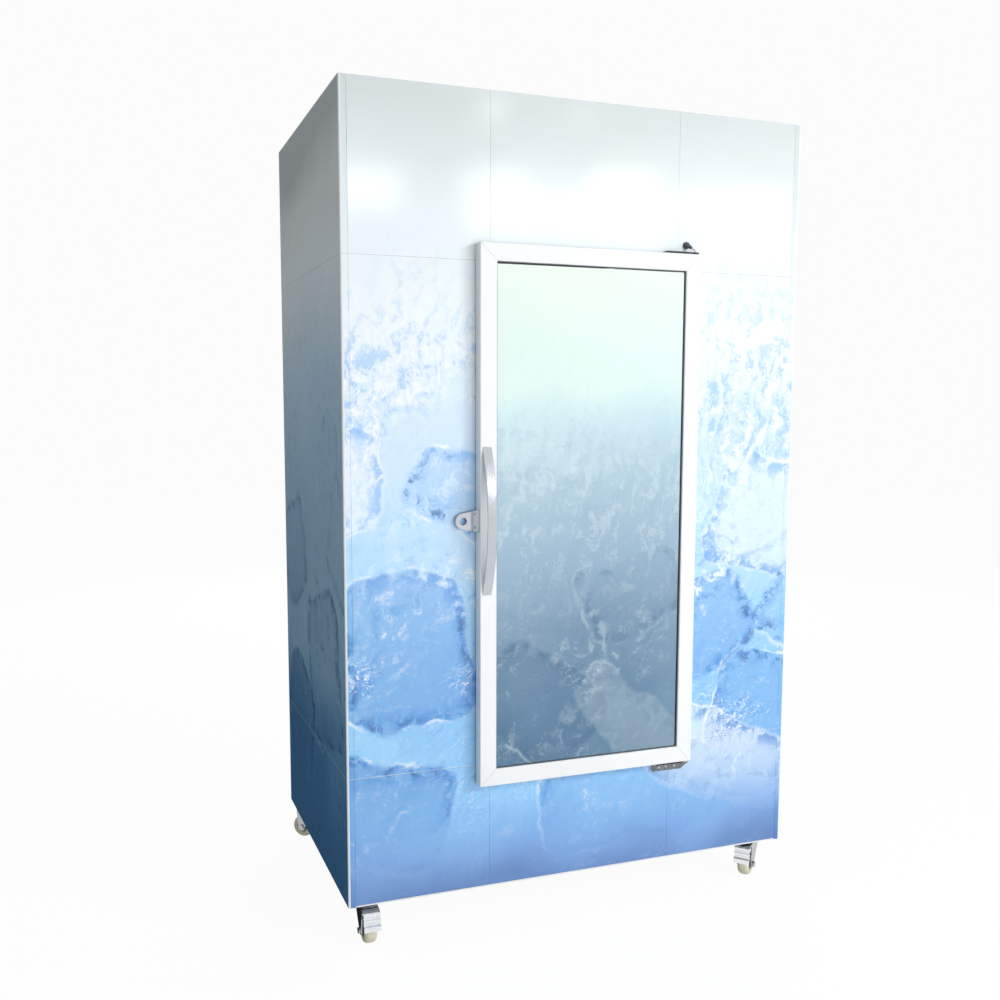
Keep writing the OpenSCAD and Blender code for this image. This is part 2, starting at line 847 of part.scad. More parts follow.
module condenser_motor() {
    y0 = cond_y - gap - shroud_d - fit;
    x0 = cond_mid_x - brace_w / 2;
    x1 = cond_mid_x + brace_w / 2;
    z1 = deck_z + cond_foot + cond_h;
    color("dimgray") in_cabinet() difference() {
        union() {
            rod_y([cond_mid_x, y0 - cond_motor_l - cond_motor_out, cond_mid_z], cond_motor_r,
                  cond_motor_l);
            block([x0, y0 - brace_out, deck_z], [x1, y0 - brace_out + strap_t, z1]);
            for (z = [deck_z + 2, z1 - strap_t - 2])
                block([x0, y0 - brace_out, z], [x1, y0, z + strap_t]);
        }
        rod_y([cond_mid_x, y0 - cond_motor_out - shaft_depth, cond_mid_z], shaft_r + shaft_run,
              shaft_depth + cond_motor_out);
    }
}

module condenser_fan() {
    y0 = cond_y - gap - shroud_d - fit;
    shaft_l = cond_motor_out + shaft_depth - 4;
    color("black") in_cabinet() translate([cond_mid_x, y0 + cond_rotor_depth + 2, cond_mid_z])
        mirror([0, 1, 0]) fan_rotor(cond_fan_r, cond_hub_r, cond_rotor_depth, shaft_l + 2);
}

module refrigerant_lines() {
    start = comp_x + comp_r + gap;
    low_z = evap_coil_z1 + gap;
    coil_y = cond_y + cond_t / 4;
    coil_x = cond_x - gap;
    top = deck_z + pipe_up;
    low = top - discharge_down;
    riser_x = liquid_x + riser_out;
    riser_y = comp_y - discharge_in;
    inlet_z = deck_z + cond_foot + cond_h - inlet_down;
    outlet_z = deck_z + outlet_up;
    color("peru") in_cabinet() {
        pipe([[start, comp_y, top], [suction_x, comp_y, top],
              [suction_x, suction_y, top], [suction_x, suction_y, low_z]], suction_r);
        pipe([[start - 3, riser_y, low], [riser_x, riser_y, low], [riser_x, riser_y, inlet_z],
              [riser_x, coil_y, inlet_z], [coil_x, coil_y, inlet_z]], liquid_r);
        pipe([[coil_x, coil_y, outlet_z], [liquid_x, coil_y, outlet_z],
              [liquid_x, liquid_y, outlet_z], [liquid_x, liquid_y, low_z]], liquid_r);
        rod_x([coil_x - dryer_l - 4, coil_y, outlet_z], dryer_r, dryer_l);
    }
}

// ------------------------------------------------------------------------------- controls

function bezel_x() = rocker_w / 2 + 1 + bezel_wall;
function bezel_z() = rocker_h / 2 + 2 + bezel_wall;

module control_box() {
    y0 = control_y1 - control_d;
    x1 = control_x + control_w;
    z1 = control_z + control_h;
    color("dimgray") in_cabinet() difference() {
        union() {
            difference() {
                block([control_x, y0, control_z], [x1, control_y1, z1]);
                block([control_x + control_wall, y0 + control_wall, control_z - 1],
                      [x1 - control_wall, control_y1 - control_wall, z1 - control_wall]);
            }
            block([control_mid - bezel_x() + fit, control_y1 - 16, switch_z - bezel_z() + fit],
                  [control_mid + bezel_x() - fit, body_d + bezel_t, switch_z + bezel_z() - fit]);
            rod_y([control_mid, control_y1 - 14, knob_z], knob_shaft_r + 4, 13);
        }
        block([control_mid - rocker_w / 2 - 1, control_y1 - 13, switch_z - rocker_h / 2 - 2],
              [control_mid + rocker_w / 2 + 1, body_d + bezel_t + 1, switch_z + rocker_h / 2 + 2]);
        rod_x([control_mid - rocker_w / 2 - 2.5, body_d - 2, switch_z], rocker_pin_r + run,
              rocker_w + 5);
        rod_y([control_mid, control_y1 - 15, knob_z], knob_shaft_r + run, 20);
        rod_y([control_mid, control_y1 - 15, cord_z], cord_hole_r + cord_gland_wall + fit, 20);
    }
}

// The rocker switch at rest is pressed at its upper end.
module power_switch() {
    h = rocker_h / 2;
    color("red") in_cabinet() translate([control_mid, body_d - 2, switch_z])
        rotate([rocker_tilt, 0, 0]) {
            translate([-rocker_w / 2, 0, 0]) rotate([90, 0, 90]) linear_extrude(rocker_w)
                polygon([[-5, -h + 3], [4.5, -h], [2.8, 0], [4.5, h], [-5, h - 3]]);
            rod_x([-rocker_w / 2 - 2, 0, 0], rocker_pin_r, rocker_w + 4);
        }
}

module thermostat_knob() {
    skirt = 2.5;
    color("black") in_cabinet() translate([control_mid, body_d + 0.6, knob_z]) {
        rod_y([0, 0, 0], knob_r, skirt);
        rod_y([0, skirt, 0], knob_r - 4, knob_l - skirt - 2);
        block([-2.5, skirt, -knob_r + 5], [2.5, knob_l, knob_r - 5]);
        rod_y([0, -14, 0], knob_shaft_r, 14);
    }
}

// The supply cord's gland: a threaded body, its hexagonal nut and a domed cap, bored through.
module power_gland() {
    body_r = cord_hole_r + cord_gland_wall;
    nut_t = 6;
    color("black") in_cabinet() translate([control_mid, 0, cord_z]) difference() {
        union() {
            rod_y([0, control_y1 - 12, 0], body_r, sheet_t + fit + 12.5);
            translate([0, body_d + fit, 0]) rotate([-90, 0, 0])
                cylinder(r = body_r + 5, h = nut_t, $fn = 6);
            rod_y([0, body_d + nut_t, 0], body_r + 2, rear_out - nut_t);
        }
        rod_y([0, control_y1 - 13, 0], cord_hole_r, body_d + rear_out - control_y1 + 14);
    }
}

// ------------------------------------------------------------- heater lead, hinges and keeper

// The rubber gland on the front and its boot, which points down to the hollow pivot pin.
function gland_mid() = [gland_x, -gland_cap_r - fit, gland_z];
function lead_top() = [door_x + pivot_x, door_y + pivot_back, door_z + door_h + lead_bend_z];
function lead_way() = (lead_top() - gland_mid()) / norm(lead_top() - gland_mid());
function boot_end() = gland_mid() + lead_way() * boot_l;

module cable_gland() {
    way = lead_way();
    color("dimgray") in_cabinet() difference() {
        union() {
            rod_y([gland_x, -gland_flange, gland_z], gland_r, gland_flange);
            rod_y([gland_x, -gland_flange, gland_z], gland_r / 2, gland_flange + sheet_t);
            rod_y([gland_x, -gland_cap_out, gland_z], gland_cap_r, gland_cap_out);
            translate([gland_x, -gland_nose_out, gland_z]) rotate([-90, 0, 0])
                cylinder(r1 = gland_nose_r, r2 = gland_cap_r - 0.1, h = gland_nose_out - gland_cap_out);
            translate(gland_mid())
                rotate([0, atan2(norm([way[0], way[1]]), way[2]), atan2(way[1], way[0])])
                    cylinder(r1 = boot_r, r2 = lead_r + boot_wall, h = boot_l);
        }
        rod(boot_end() - way * lead_seat, boot_end() + way, lead_r + run);
    }
}

module heater_lead() {
    start = boot_end() - lead_way() * (lead_seat - gap);
    low = lead_top() - [0, 0, lead_bend_z + top_bush_l - 5];
    color("whitesmoke") in_cabinet() pipe([start, lead_top(), low], lead_r);
}

// The upper hinge: a flat plate over the door, a leg behind it and a hollow pin down into it.
module top_hinge() {
    z0 = door_h + top_gap;
    color("dimgray") in_door() difference() {
        union() {
            block([leg_x0, pivot_back - 10, z0], [pivot_x, door_t + door_gap - fit, z0 + bracket_t]);
            translate([pivot_x, pivot_back, z0]) cylinder(r = 10, h = bracket_t);
            block([leg_x0, door_t + door_gap - fit - bracket_t, z0 - top_gap - top_leg_drop],
                  [leg_x1 - 8, door_t + door_gap - fit, z0 + bracket_t]);
            translate([pivot_x, pivot_back, door_h - top_bush_l + 2])
                cylinder(r = hollow_pin_r, h = top_bush_l + top_gap);
        }
        translate([pivot_x, pivot_back, door_h - top_bush_l])
            cylinder(r = hollow_pin_r - 2.5, h = 2 * top_bush_l);
    }
}

// The holes for the lower hinge's screws, from its front into the cabinet's sheet.
module hinge_screw_holes(depth) {
    for (x = hinge_screw_x) translate([door_x + x, 0, door_z + hinge_screw_z])
        rod_y([0, -bracket_t - 2, 0], screw_r + fit, bracket_t + 2 + depth + 1);
}

// The lower hinge: an angle under the door with a fixing leg on the front and a pin up into it.
module bottom_hinge() {
    z1 = -washer_t - gap;
    z0 = z1 - bracket_t;
    back = door_t + door_gap - fit;
    low = z0 - leg_drop + bracket_t;
    color("darkgray") in_door() {
        difference() {
            union() {
                block([leg_x0, pivot_back - 10, z0], [pivot_x, back, z1]);
                translate([pivot_x, pivot_back, z0]) cylinder(r = 10, h = bracket_t);
                translate([0, back, 0]) rotate([90, 0, 0]) linear_extrude(bracket_t)
                    polygon([[leg_x0, z1], [leg_x0, low + 4], [leg_x0 + 4, low],
                             [leg_x1 + 22, low], [door_w + 16, z0 - 4], [door_w + 16, z1]]);
            }
            translate([-door_x, -door_y, -door_z]) hinge_screw_holes(0);
        }
        translate([pivot_x, pivot_back, z0]) cylinder(r = pin_r, h = bracket_t + washer_t + 15);
    }
}

// A pan-head screw that points towards +Y, with the underside of its head at y = 0.
module pan_screw(l) {
    rod_y([0, -screw_head_t, 0], screw_head_r, screw_head_t);
    rod_y([0, -0.5, 0], screw_r, l + 0.5);
}

module panel_screws() {
    color("silver") in_cabinet() {
        for (x = hinge_screw_x)
            translate([door_x + x, -bracket_t - fit, door_z + hinge_screw_z])
                pan_screw(bracket_t + fit + sheet_t);
        for (p = cover_screws()) translate([p[0], body_d, p[1]]) mirror([0, 1, 0])
            pan_screw(sheet_t);
    }
}

// The outline of the hasp: a round tip that widens in straight tangents to the fixing leg.
module hasp_outline(reach, half_h) {
    turn = atan2(half_h, reach) + acos(hasp_r / norm([reach, half_h]));
    circle(r = hasp_r);
    polygon([[reach, -half_h], [reach, half_h], [hasp_r * cos(turn), hasp_r * sin(turn)],
             [hasp_r * cos(turn), -hasp_r * sin(turn)]]);
}

// A hasp plate parallel to the front, with its front face at y, drawn from the padlock's hole.
module hasp_plate(y, reach, half_h) {
    translate([-hasp_reach, y + hasp_t, hasp_z]) rotate([90, 0, 0]) linear_extrude(hasp_t)
        difference() {
            hasp_outline(reach, half_h);
            circle(r = padlock_r);
        }
}

module lock_hasp() {
    front = -door_y + hasp_tab_y - hasp_t;
    leg_y0 = front - hasp_leg_d + hasp_t;
    rivet_y = leg_y0 + 8;
    color("silver") in_door() {
        difference() {
            union() {
                hasp_plate(front, hasp_reach - fit, hasp_h / 2);
                block([-fit - hasp_t, leg_y0, hasp_z - hasp_h / 2],
                      [-fit, front + hasp_t, hasp_z + hasp_h / 2]);
            }
            for (s = [-1, 1]) rod_x([-5, rivet_y, hasp_z + s * (hasp_h / 2 - 10)], screw_r + fit, 10);
        }
        for (s = [-1, 1]) translate([0, rivet_y, hasp_z + s * (hasp_h / 2 - 10)]) {
            rod_x([-fit - hasp_t - screw_head_t, 0, 0], screw_head_r, screw_head_t);
            rod_x([-fit - hasp_t - 0.5, 0, 0], screw_r, hasp_t + fit + 0.5);
        }
    }
}

// The keeper stands behind the hasp on a foot that reaches in behind the door's edge.
module lock_keeper() {
    front = -door_y + hasp_tab_y + gap;
    face = -door_y - fit;
    riser = -hasp_reach + hasp_r + 3;
    foot_h = 20;
    color("gray") in_door() {
        hasp_plate(front, riser + hasp_reach + hasp_t, foot_h);
        block([riser, front, hasp_z - foot_h], [riser + hasp_t, face, hasp_z + foot_h]);
        block([riser, face - 2, hasp_z - foot_h],
              [lap_left - seal_in - seal_w - 3, face, hasp_z + foot_h]);
    }
}

// ----------------------------------------------------------------------------------- door

// The frame's section, as [distance back from the face, distance in from the edge].
function frame_section() = [
    [0, frame_chamfer], [0, frame_w - frame_chamfer], [frame_chamfer, frame_w], [lip_t, frame_w],
    [lip_t, rebate], [glass_y + glass_t + 0.5, rebate], [glass_y + glass_t + 0.5, bead_w],
    [door_t, bead_w], [door_t, frame_chamfer], [door_t - frame_chamfer, 0],
    [pivot_back + 4 + groove_w, 0], [pivot_back + 4 + groove_w, groove_d],
    [pivot_back + 4, groove_d], [pivot_back + 4, 0], [frame_chamfer, 0]
];

// One side of the frame, along +X from the origin with mitred ends, facing -Y.
module frame_side(l) {
    cut = mitre_gap * sqrt(2) / 2;
    reach = frame_w + 5;
    intersection() {
        rotate([90, 0, 90]) linear_extrude(l) polygon(frame_section());
        translate([0, door_t + 1, 0]) rotate([90, 0, 0]) linear_extrude(door_t + 2)
            polygon([[cut, 0], [l - cut, 0], [l - cut - reach, reach], [cut + reach, reach]]);
    }
}

module door_frame() {
    color("white") in_door() difference() {
        union() {
            frame_side(door_w);
            translate([door_w, 0, 0]) rotate([0, -90, 0]) frame_side(door_h);
            translate([door_w, 0, door_h]) rotate([0, 180, 0]) frame_side(door_w);
            translate([0, 0, door_h]) rotate([0, 90, 0]) frame_side(door_h);
        }
        translate([pivot_x, pivot_back, -1]) cylinder(r = bush_r + fit / 4, h = bottom_bush_l + 1);
        translate([pivot_x, pivot_back, door_h - top_bush_l])
            cylinder(r = bush_r + fit / 4, h = top_bush_l + 1);
    }
}

// A ring that follows the door's edge, between two distances in from it.
module door_ring(outer, inner, y0, y1) {
    difference() {
        block([outer, y0, outer], [door_w - outer, y1, door_h - outer]);
        block([inner, y0 - 1, inner], [door_w - inner, y1 + 1, door_h - inner]);
    }
}

module outer_pane() {
    color("lightblue", 0.6) in_door()
        block([glass_in, glass_y, glass_in], [door_w - glass_in, glass_y + pane_t, door_h - glass_in]);
}

module glass_spacer() {
    y0 = glass_y + pane_t;
    color("silver") in_door() door_ring(glass_in + 0.5, frame_w - 2, y0, y0 + spacer_t);
}

module inner_pane() {
    y0 = glass_y + pane_t + spacer_t;
    color("lightblue", 0.6) in_door()
        block([glass_in, y0, glass_in], [door_w - glass_in, y0 + pane_t, door_h - glass_in]);
}

module glazing_seal() {
    edge = 1.5;
    color("dimgray") in_door() {
        door_ring(glass_in + 2, frame_w + edge, lip_t, glass_y);
        door_ring(frame_w, frame_w + edge, lip_t / 2, glass_y);
    }
}

module door_gasket() {
    x0 = open_x - seal_in - seal_w;
    z0 = open_z - seal_in - seal_w;
    x1 = open_x1 + seal_in + seal_w;
    z1 = open_z1 + seal_in + seal_w;
    back = -door_gap;
    color("gray") in_cabinet() difference() {
        block([x0, back, z0], [x1, -gap, z1]);
        block([x0 + seal_w, back - 1, z0 + seal_w], [x1 - seal_w, 0, z1 - seal_w]);
    }
}

// The handle's strap is part of a wide ring about the X axis, cut off where it meets the door.
module door_handle() {
    ring_r = (pow(handle_len / 2, 2) + pow(handle_reach, 2)) / (2 * handle_reach);
    low = [handle_in - handle_w / 2, -handle_reach - 1, handle_z - handle_len / 2 - 1];
    color("silver") in_door() intersection() {
        block(low, [handle_in + handle_w / 2, 0, handle_z + handle_len / 2 + 1]);
        translate([low[0], ring_r - handle_reach, handle_z]) rotate([0, 90, 0]) difference() {
            cylinder(r = ring_r, h = handle_w, $fn = 360);
            translate([0, 0, -1]) cylinder(r = ring_r - handle_t, h = handle_w + 2, $fn = 360);
        }
    }
}

// The pivot bushes: the lower one has a washer under the door, which carries it.
module hinge_bushes() {
    color("ivory") in_door() translate([pivot_x, pivot_back, 0]) {
        difference() {
            union() {
                cylinder(r = bush_r, h = bottom_bush_l - fit);
                translate([0, 0, -washer_t]) cylinder(r = bush_r + 1, h = washer_t);
            }
            translate([0, 0, -washer_t - 1]) cylinder(r = pin_r + run, h = bottom_bush_l + washer_t + 2);
        }
        translate([0, 0, door_h - top_bush_l + fit]) difference() {
            cylinder(r = bush_r, h = top_bush_l - fit);
            translate([0, 0, -1]) cylinder(r = hollow_pin_r + run, h = top_bush_l + 2);
        }
    }
}

// --------------------------------------------------------------------------------- casters

// The fixed part of a caster: its bolted plate, the race under it and the kingpin.
module caster_plate() {
    low = fork_top + fork_crown + gap;
    block([-plate_l / 2, -plate_w / 2, -plate_t], [plate_l / 2, plate_w / 2, 0]);
    translate([0, 0, -plate_t - race_t]) cylinder(r = race_r, h = race_t);
    translate([0, 0, -low - 1]) cylinder(r = kingpin_r, h = low);
    translate([0, 0, -low - 4]) cylinder(r = kingpin_head_r, h = 4);
    for (x = [-1, 1], y = [-1, 1]) translate(
        [x * (plate_l / 2 - 8), y * (plate_w / 2 - 8), -plate_t - 5]) cylinder(r = 6, h = 5, $fn = 6);
}

module caster_plates() {
    color("silver") in_cabinet() for (place = CASTERS)
        translate([place[0], place[1], 0]) caster_plate();
}

// A fork's cheek, seen from the side: broad under the crown and narrow at the axle.
module cheek_outline() {
    difference() {
        union() {
            polygon([[-race_r + 2, -fork_top - 4], [pedal_x + pedal_lug_r + 1, -fork_top - 4],
                     [pedal_x + pedal_lug_r + 1, pedal_z - pedal_lug_r],
                     [trail + cheek_end, axle_z], [trail - cheek_end, axle_z],
                     [-race_r + 6, -fork_top - cheek_top]]);
            translate([trail, axle_z]) circle(r = cheek_end);
        }
        translate([trail, axle_z]) circle(r = axle_r + run);
        translate([pedal_x, pedal_z]) circle(r = pedal_pin_r + run);
    }
}

// A fork about its swivel axis, with the crown, two cheeks and, apart from them, the axle.
module fork() {
    half = fork_gap / 2;
    difference() {
        union() {
            for (y = [half + fork_t, -half]) translate([0, y, 0]) rotate([90, 0, 0])
                linear_extrude(fork_t) cheek_outline();
            block([-race_r + 2, -half - fork_t, -fork_top - fork_crown],
                  [pedal_x - pedal_lug_r - 3, half + fork_t, -fork_top - 4]);
            translate([0, 0, -fork_top - fork_crown]) cylinder(r = race_r - 2, h = fork_crown);
        }
        translate([0, 0, -fork_top - fork_crown - 1]) cylinder(r = kingpin_r + run, h = fork_crown + 2);
    }
    out = half + fork_t + fit;
    rod_y([trail, -out - 4, axle_z], axle_r, 2 * out + 8);
    for (y = [-out - 5, out]) rod_y([trail, y, axle_z], axle_r + 3.5, 5);
}

module fork_front_left() {
    color("silver") at_caster(0) fork();
}

module fork_front_right() {
    color("silver") at_caster(1) fork();
}

module fork_back_left() {
    color("silver") at_caster(2) fork();
}

module fork_back_right() {
    color("silver") at_caster(3) fork();
}

// A wheel with a crowned tread, a recessed web and a hub that runs on the axle.
module wheel() {
    half = wheel_w / 2;
    shoulder = half - 3;
    bore = axle_r + run;
    hub_half = fork_gap / 2 - 0.5;
    translate([trail, 0, axle_z]) rotate([90, 0, 0]) rotate_extrude($fn = 96) {
        translate([bore, -hub_half]) square([hub_r - bore, 2 * hub_half]);
        translate([bore, -half / 2]) square([wheel_r - shoulder - bore, half]);
        translate([hub_r + 5, -half]) square([wheel_r - shoulder - hub_r - 5, 2 * half]);
        translate([wheel_r - shoulder - 1, -half + shoulder])
            square([shoulder + 1, 2 * (half - shoulder)]);
        for (y = [-1, 1]) translate([wheel_r - shoulder, y * (half - shoulder)]) circle(r = shoulder);
    }
}

module wheel_front_left() {
    color("cornsilk") at_caster(0) wheel();
}

module wheel_front_right() {
    color("cornsilk") at_caster(1) wheel();
}

module wheel_back_left() {
    color("cornsilk") at_caster(2) wheel();
}

module wheel_back_right() {
    color("cornsilk") at_caster(3) wheel();
}

// The brake pedal: a plate round the wheel's trailing side with two ribs and a lip for the foot, on lugs
// between the cheeks.
module brake_pedal() {
    x = trail + wheel_r;
    top = -fork_top;
    low = min(axle_z + 12, top - 47);
    lug = fork_gap / 2 - 0.5;
    half = fork_gap / 2 + fork_t;
    near = pedal_x + pedal_lug_r + 3;
    color("whitesmoke") {
        translate([0, half, 0]) rotate([90, 0, 0]) linear_extrude(2 * half) polygon([
            [near, top - 5], [x - 6, top - 6], [x + 2, top - 9],
            [x + 6, top - 12], [x + 6, top - 19], [x + 4.2, top - 21], [x + 4.2, top - 24],
            [x + 7.5, top - 26], [x + 7.5, top - 33], [x + 5.7, top - 35], [x + 5.7, top - 38],
            [x + 12.5, top - 42], [x + 12.5, low], [x + 9.5, low], [x + 9.5, top - 44],
            [x + 2.5, top - 39.5], [x + 2.5, top - 13.5], [x, top - 11.5], [x - 7, top - 10],
            [near, top - 9]]);
        translate([0, lug, 0]) rotate([90, 0, 0]) linear_extrude(2 * lug) {
            translate([pedal_x, pedal_z]) circle(r = pedal_lug_r);
            polygon([[pedal_x, pedal_z + pedal_lug_r], [near + 1, top - 5.5],
                     [near + 1, top - 9], [pedal_x + 2, pedal_z - 2]]);
        }
        rod_y([pedal_x, -half, pedal_z], pedal_pin_r, 2 * half);
    }
}

module brake_pedal_left() {
    at_caster(0) brake_pedal();
}

module brake_pedal_right() {
    at_caster(1) brake_pedal();
}

base_pan();
left_side_panel();
right_side_panel();
rear_panel();
rear_grille();
top_panel();
front_left_panel();
front_right_panel();
front_header_panel();
front_sill_panel();
machine_deck();
cabinet_insulation();
front_insulation();
inner_liner();
door_throat();
cabinet_lamp();
floor_rack();
evaporator_coil();
evaporator_cover();
evaporator_motors();
drain_tube();
compressor();
condenser_coil();
fan_shroud();
condenser_motor();
refrigerant_lines();
control_box();
power_gland();
cable_gland();
heater_lead();
top_hinge();
bottom_hinge();
lock_keeper();
panel_screws();
caster_plates();
condenser_fan();
evaporator_fan_left();
evaporator_fan_right();
power_switch();
thermostat_knob();
door_frame();
outer_pane();
inner_pane();
glass_spacer();
glazing_seal();
door_gasket();
door_handle();
lock_hasp();
hinge_bushes();
fork_front_left();
fork_front_right();
fork_back_left();
fork_back_right();
wheel_front_left();
wheel_front_right();
wheel_back_left();
wheel_back_right();
brake_pedal_left();
brake_pedal_right();
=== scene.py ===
import json
import math

import bmesh
import bpy
from mathutils import Matrix, Vector


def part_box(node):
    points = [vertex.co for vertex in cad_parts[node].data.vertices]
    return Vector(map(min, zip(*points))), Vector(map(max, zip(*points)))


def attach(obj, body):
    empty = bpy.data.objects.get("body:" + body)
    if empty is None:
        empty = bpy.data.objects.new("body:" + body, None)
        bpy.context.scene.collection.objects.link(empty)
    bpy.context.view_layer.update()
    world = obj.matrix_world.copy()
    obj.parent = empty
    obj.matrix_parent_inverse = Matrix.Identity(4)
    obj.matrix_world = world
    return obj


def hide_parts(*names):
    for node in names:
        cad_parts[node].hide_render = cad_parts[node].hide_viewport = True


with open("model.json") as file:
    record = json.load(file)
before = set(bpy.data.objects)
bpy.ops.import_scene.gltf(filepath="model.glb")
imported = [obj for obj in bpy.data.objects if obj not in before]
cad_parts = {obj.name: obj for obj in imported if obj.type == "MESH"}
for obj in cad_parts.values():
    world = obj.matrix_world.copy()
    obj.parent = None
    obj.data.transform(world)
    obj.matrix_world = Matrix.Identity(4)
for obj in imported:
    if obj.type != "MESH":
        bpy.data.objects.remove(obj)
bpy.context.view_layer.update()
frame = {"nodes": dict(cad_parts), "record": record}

RECORD = frame["record"]
BODY_OF = {n: b for b, members in RECORD["behaviour"]["bodies"].items() for n in members}
SLOT_OF = {s["node"]: s["material_slot"] for s in RECORD["subparts"]}
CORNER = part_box("left_side_panel")[0]  # the cabinet body's lower left front corner
FRONT_Y = CORNER.y
BODY_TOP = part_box("left_side_panel")[1].z
LOW_SEAM = CORNER.z + 0.316  # the film's two level seams
HIGH_SEAM = CORNER.z + 1.534


def srgb(red, green, blue):
    """A colour as it looks on a screen, from 0 to 255, as the linear colour that Blender takes."""
    parts = [c / 255 for c in (red, green, blue)]
    return tuple(c / 12.92 if c <= 0.04045 else ((c + 0.055) / 1.055) ** 2.4 for c in parts) + (1.0,)


# ------------------------------------------------------------------------------------ materials


class Look:
    """A procedural material, with short calls that add nodes. A value is a number, colour or socket."""

    def __init__(self, name, **fixed):
        self.material = bpy.data.materials.new(name)
        self.material.use_nodes = True
        self.tree = self.material.node_tree
        self.tree.nodes.clear()
        self.shader = self.add("ShaderNodeBsdfPrincipled")
        out = self.add("ShaderNodeOutputMaterial")
        self.tree.links.new(self.shader.outputs["BSDF"], out.inputs["Surface"])
        for key, value in fixed.items():
            self.put(key.replace("_", " "), value)

    def add(self, kind, **settings):
        node = self.tree.nodes.new(kind)
        for key, value in settings.items():
            setattr(node, key, value)
        return node

    def feed(self, socket, value):
        if isinstance(value, bpy.types.NodeSocket):
            self.tree.links.new(value, socket)
        elif value is not None:
            socket.default_value = value

    def put(self, name, value):
        self.feed(self.shader.inputs[name], value)

    def place(self):
        """Where a point is on the resting object, in metres: it stays with the piece when it moves."""
        return self.add("ShaderNodeTexCoord").outputs["Object"]

    def split(self, vector):
        node = self.add("ShaderNodeSeparateXYZ")
        self.feed(node.inputs[0], vector)
        return node.outputs

    def math(self, operation, a, b=None):
        node = self.add("ShaderNodeMath", operation=operation)
        self.feed(node.inputs[0], a)
        self.feed(node.inputs[1], b)
        return node.outputs[0]

    def vector(self, operation, a, b=None, output=0):
        node = self.add("ShaderNodeVectorMath", operation=operation)
        self.feed(node.inputs[0], a)
        self.feed(node.inputs[1], b)
        return node.outputs[output]

    def times(self, first, *others):
        for other in others:
            first = self.math("MULTIPLY", first, other)
        return first

    def step(self, value, low, high):
        """0 below low, 1 above high, and smooth between them. Low may be the larger one."""
        node = self.add("ShaderNodeMapRange", interpolation_type="SMOOTHSTEP")
        rising = low < high
        for socket, number in zip(("From Min", "From Max", "To Min", "To Max"),
                                  (low, high, 0, 1) if rising else (high, low, 1, 0)):
            node.inputs[socket].default_value = number
        self.feed(node.inputs["Value"], value)
        return node.outputs["Result"]

    def band(self, value, low, middle, high):
        return self.times(self.step(value, low, middle), self.step(value, high, middle))

    def spread(self, value, low, high):
        node = self.add("ShaderNodeMapRange")
        node.inputs["To Min"].default_value = low
        node.inputs["To Max"].default_value = high
        self.feed(node.inputs["Value"], value)
        return node.outputs["Result"]

    def moved(self, vector, by, amount):
        """The vector, pushed about by a noise's colour."""
        centred = self.add("ShaderNodeVectorMath", operation="SUBTRACT")
        self.feed(centred.inputs[0], by)
        centred.inputs[1].default_value = (0.5, 0.5, 0.5)
        node = self.add("ShaderNodeVectorMath", operation="MULTIPLY_ADD")
        self.feed(node.inputs[0], centred.outputs[0])
        node.inputs[1].default_value = (amount, amount, amount)
        self.feed(node.inputs[2], vector)
        return node.outputs[0]

    def mapped(self, vector, scale=(1, 1, 1), offset=(0, 0, 0)):
        node = self.add("ShaderNodeMapping")
        self.feed(node.inputs["Vector"], vector)
        node.inputs["Scale"].default_value = scale
        node.inputs["Location"].default_value = offset
        return node.outputs[0]

    def noise(self, vector, scale, detail=2.0, roughness=0.5, output="Fac"):
        node = self.add("ShaderNodeTexNoise")
        self.feed(node.inputs["Vector"], vector)
        for key, value in (("Scale", scale), ("Detail", detail), ("Roughness", roughness)):
            node.inputs[key].default_value = value
        return node.outputs[output]

    def cells(self, vector, scale, output="Distance"):
        node = self.add("ShaderNodeTexVoronoi")
        self.feed(node.inputs["Vector"], vector)
        node.inputs["Scale"].default_value = scale
        return node.outputs[output]

    def lit(self, vector, scale, detail=5.0, roughness=0.55):
        """A bumpy surface as if it were lit from the upper left: above 0 where it faces the light."""
        shift = 0.3 / scale
        here = self.noise(vector, scale, detail, roughness)
        there = self.noise(self.mapped(vector, offset=(shift, 0, -shift)), scale, detail, roughness)
        return self.math("SUBTRACT", here, there)

    def from_block(self, vector, x, z, half_x, half_z, turn, rounding):
        """How far a point of the picture is from a turned block with round corners, below 0 inside it."""
        node = self.add("ShaderNodeMapping", vector_type="TEXTURE")
        self.feed(node.inputs["Vector"], vector)
        node.inputs["Location"].default_value = (x, 0, z)
        node.inputs["Rotation"].default_value = (0, math.radians(turn), 0)
        size = (half_x - rounding, 10.0, half_z - rounding)
        beyond = self.vector("SUBTRACT", self.vector("ABSOLUTE", node.outputs[0]), size)
        outside = self.vector("LENGTH", self.vector("MAXIMUM", beyond, (0, 0, 0)), output="Value")
        x_in, _, z_in = self.split(beyond)
        inside = self.math("MINIMUM", self.math("MAXIMUM", x_in, z_in), 0.0)
        return self.math("SUBTRACT", self.math("ADD", outside, inside), rounding)

    def mix(self, factor, a, b):
        node = self.add("ShaderNodeMix", data_type="RGBA")
        self.feed(node.inputs["Factor"], factor)
        self.feed(node.inputs[6], a)
        self.feed(node.inputs[7], b)
        return node.outputs[2]

    def ramp(self, factor, stops):
        node = self.add("ShaderNodeValToRGB")
        self.feed(node.inputs[0], factor)
        elements = node.color_ramp.elements
        while len(elements) < len(stops):
            elements.new(0.5)
        for element, (position, colour) in zip(elements, stops):
            element.position, element.color = position, colour
        return node.outputs["Color"]

    def bump(self, height, strength, distance, after=None):
        node = self.add("ShaderNodeBump")
        node.inputs["Strength"].default_value = strength
        node.inputs["Distance"].default_value = distance
        self.feed(node.inputs["Height"], height)
        self.feed(node.inputs["Normal"], after)
        self.put("Normal", node.outputs[0])
        return node.outputs[0]


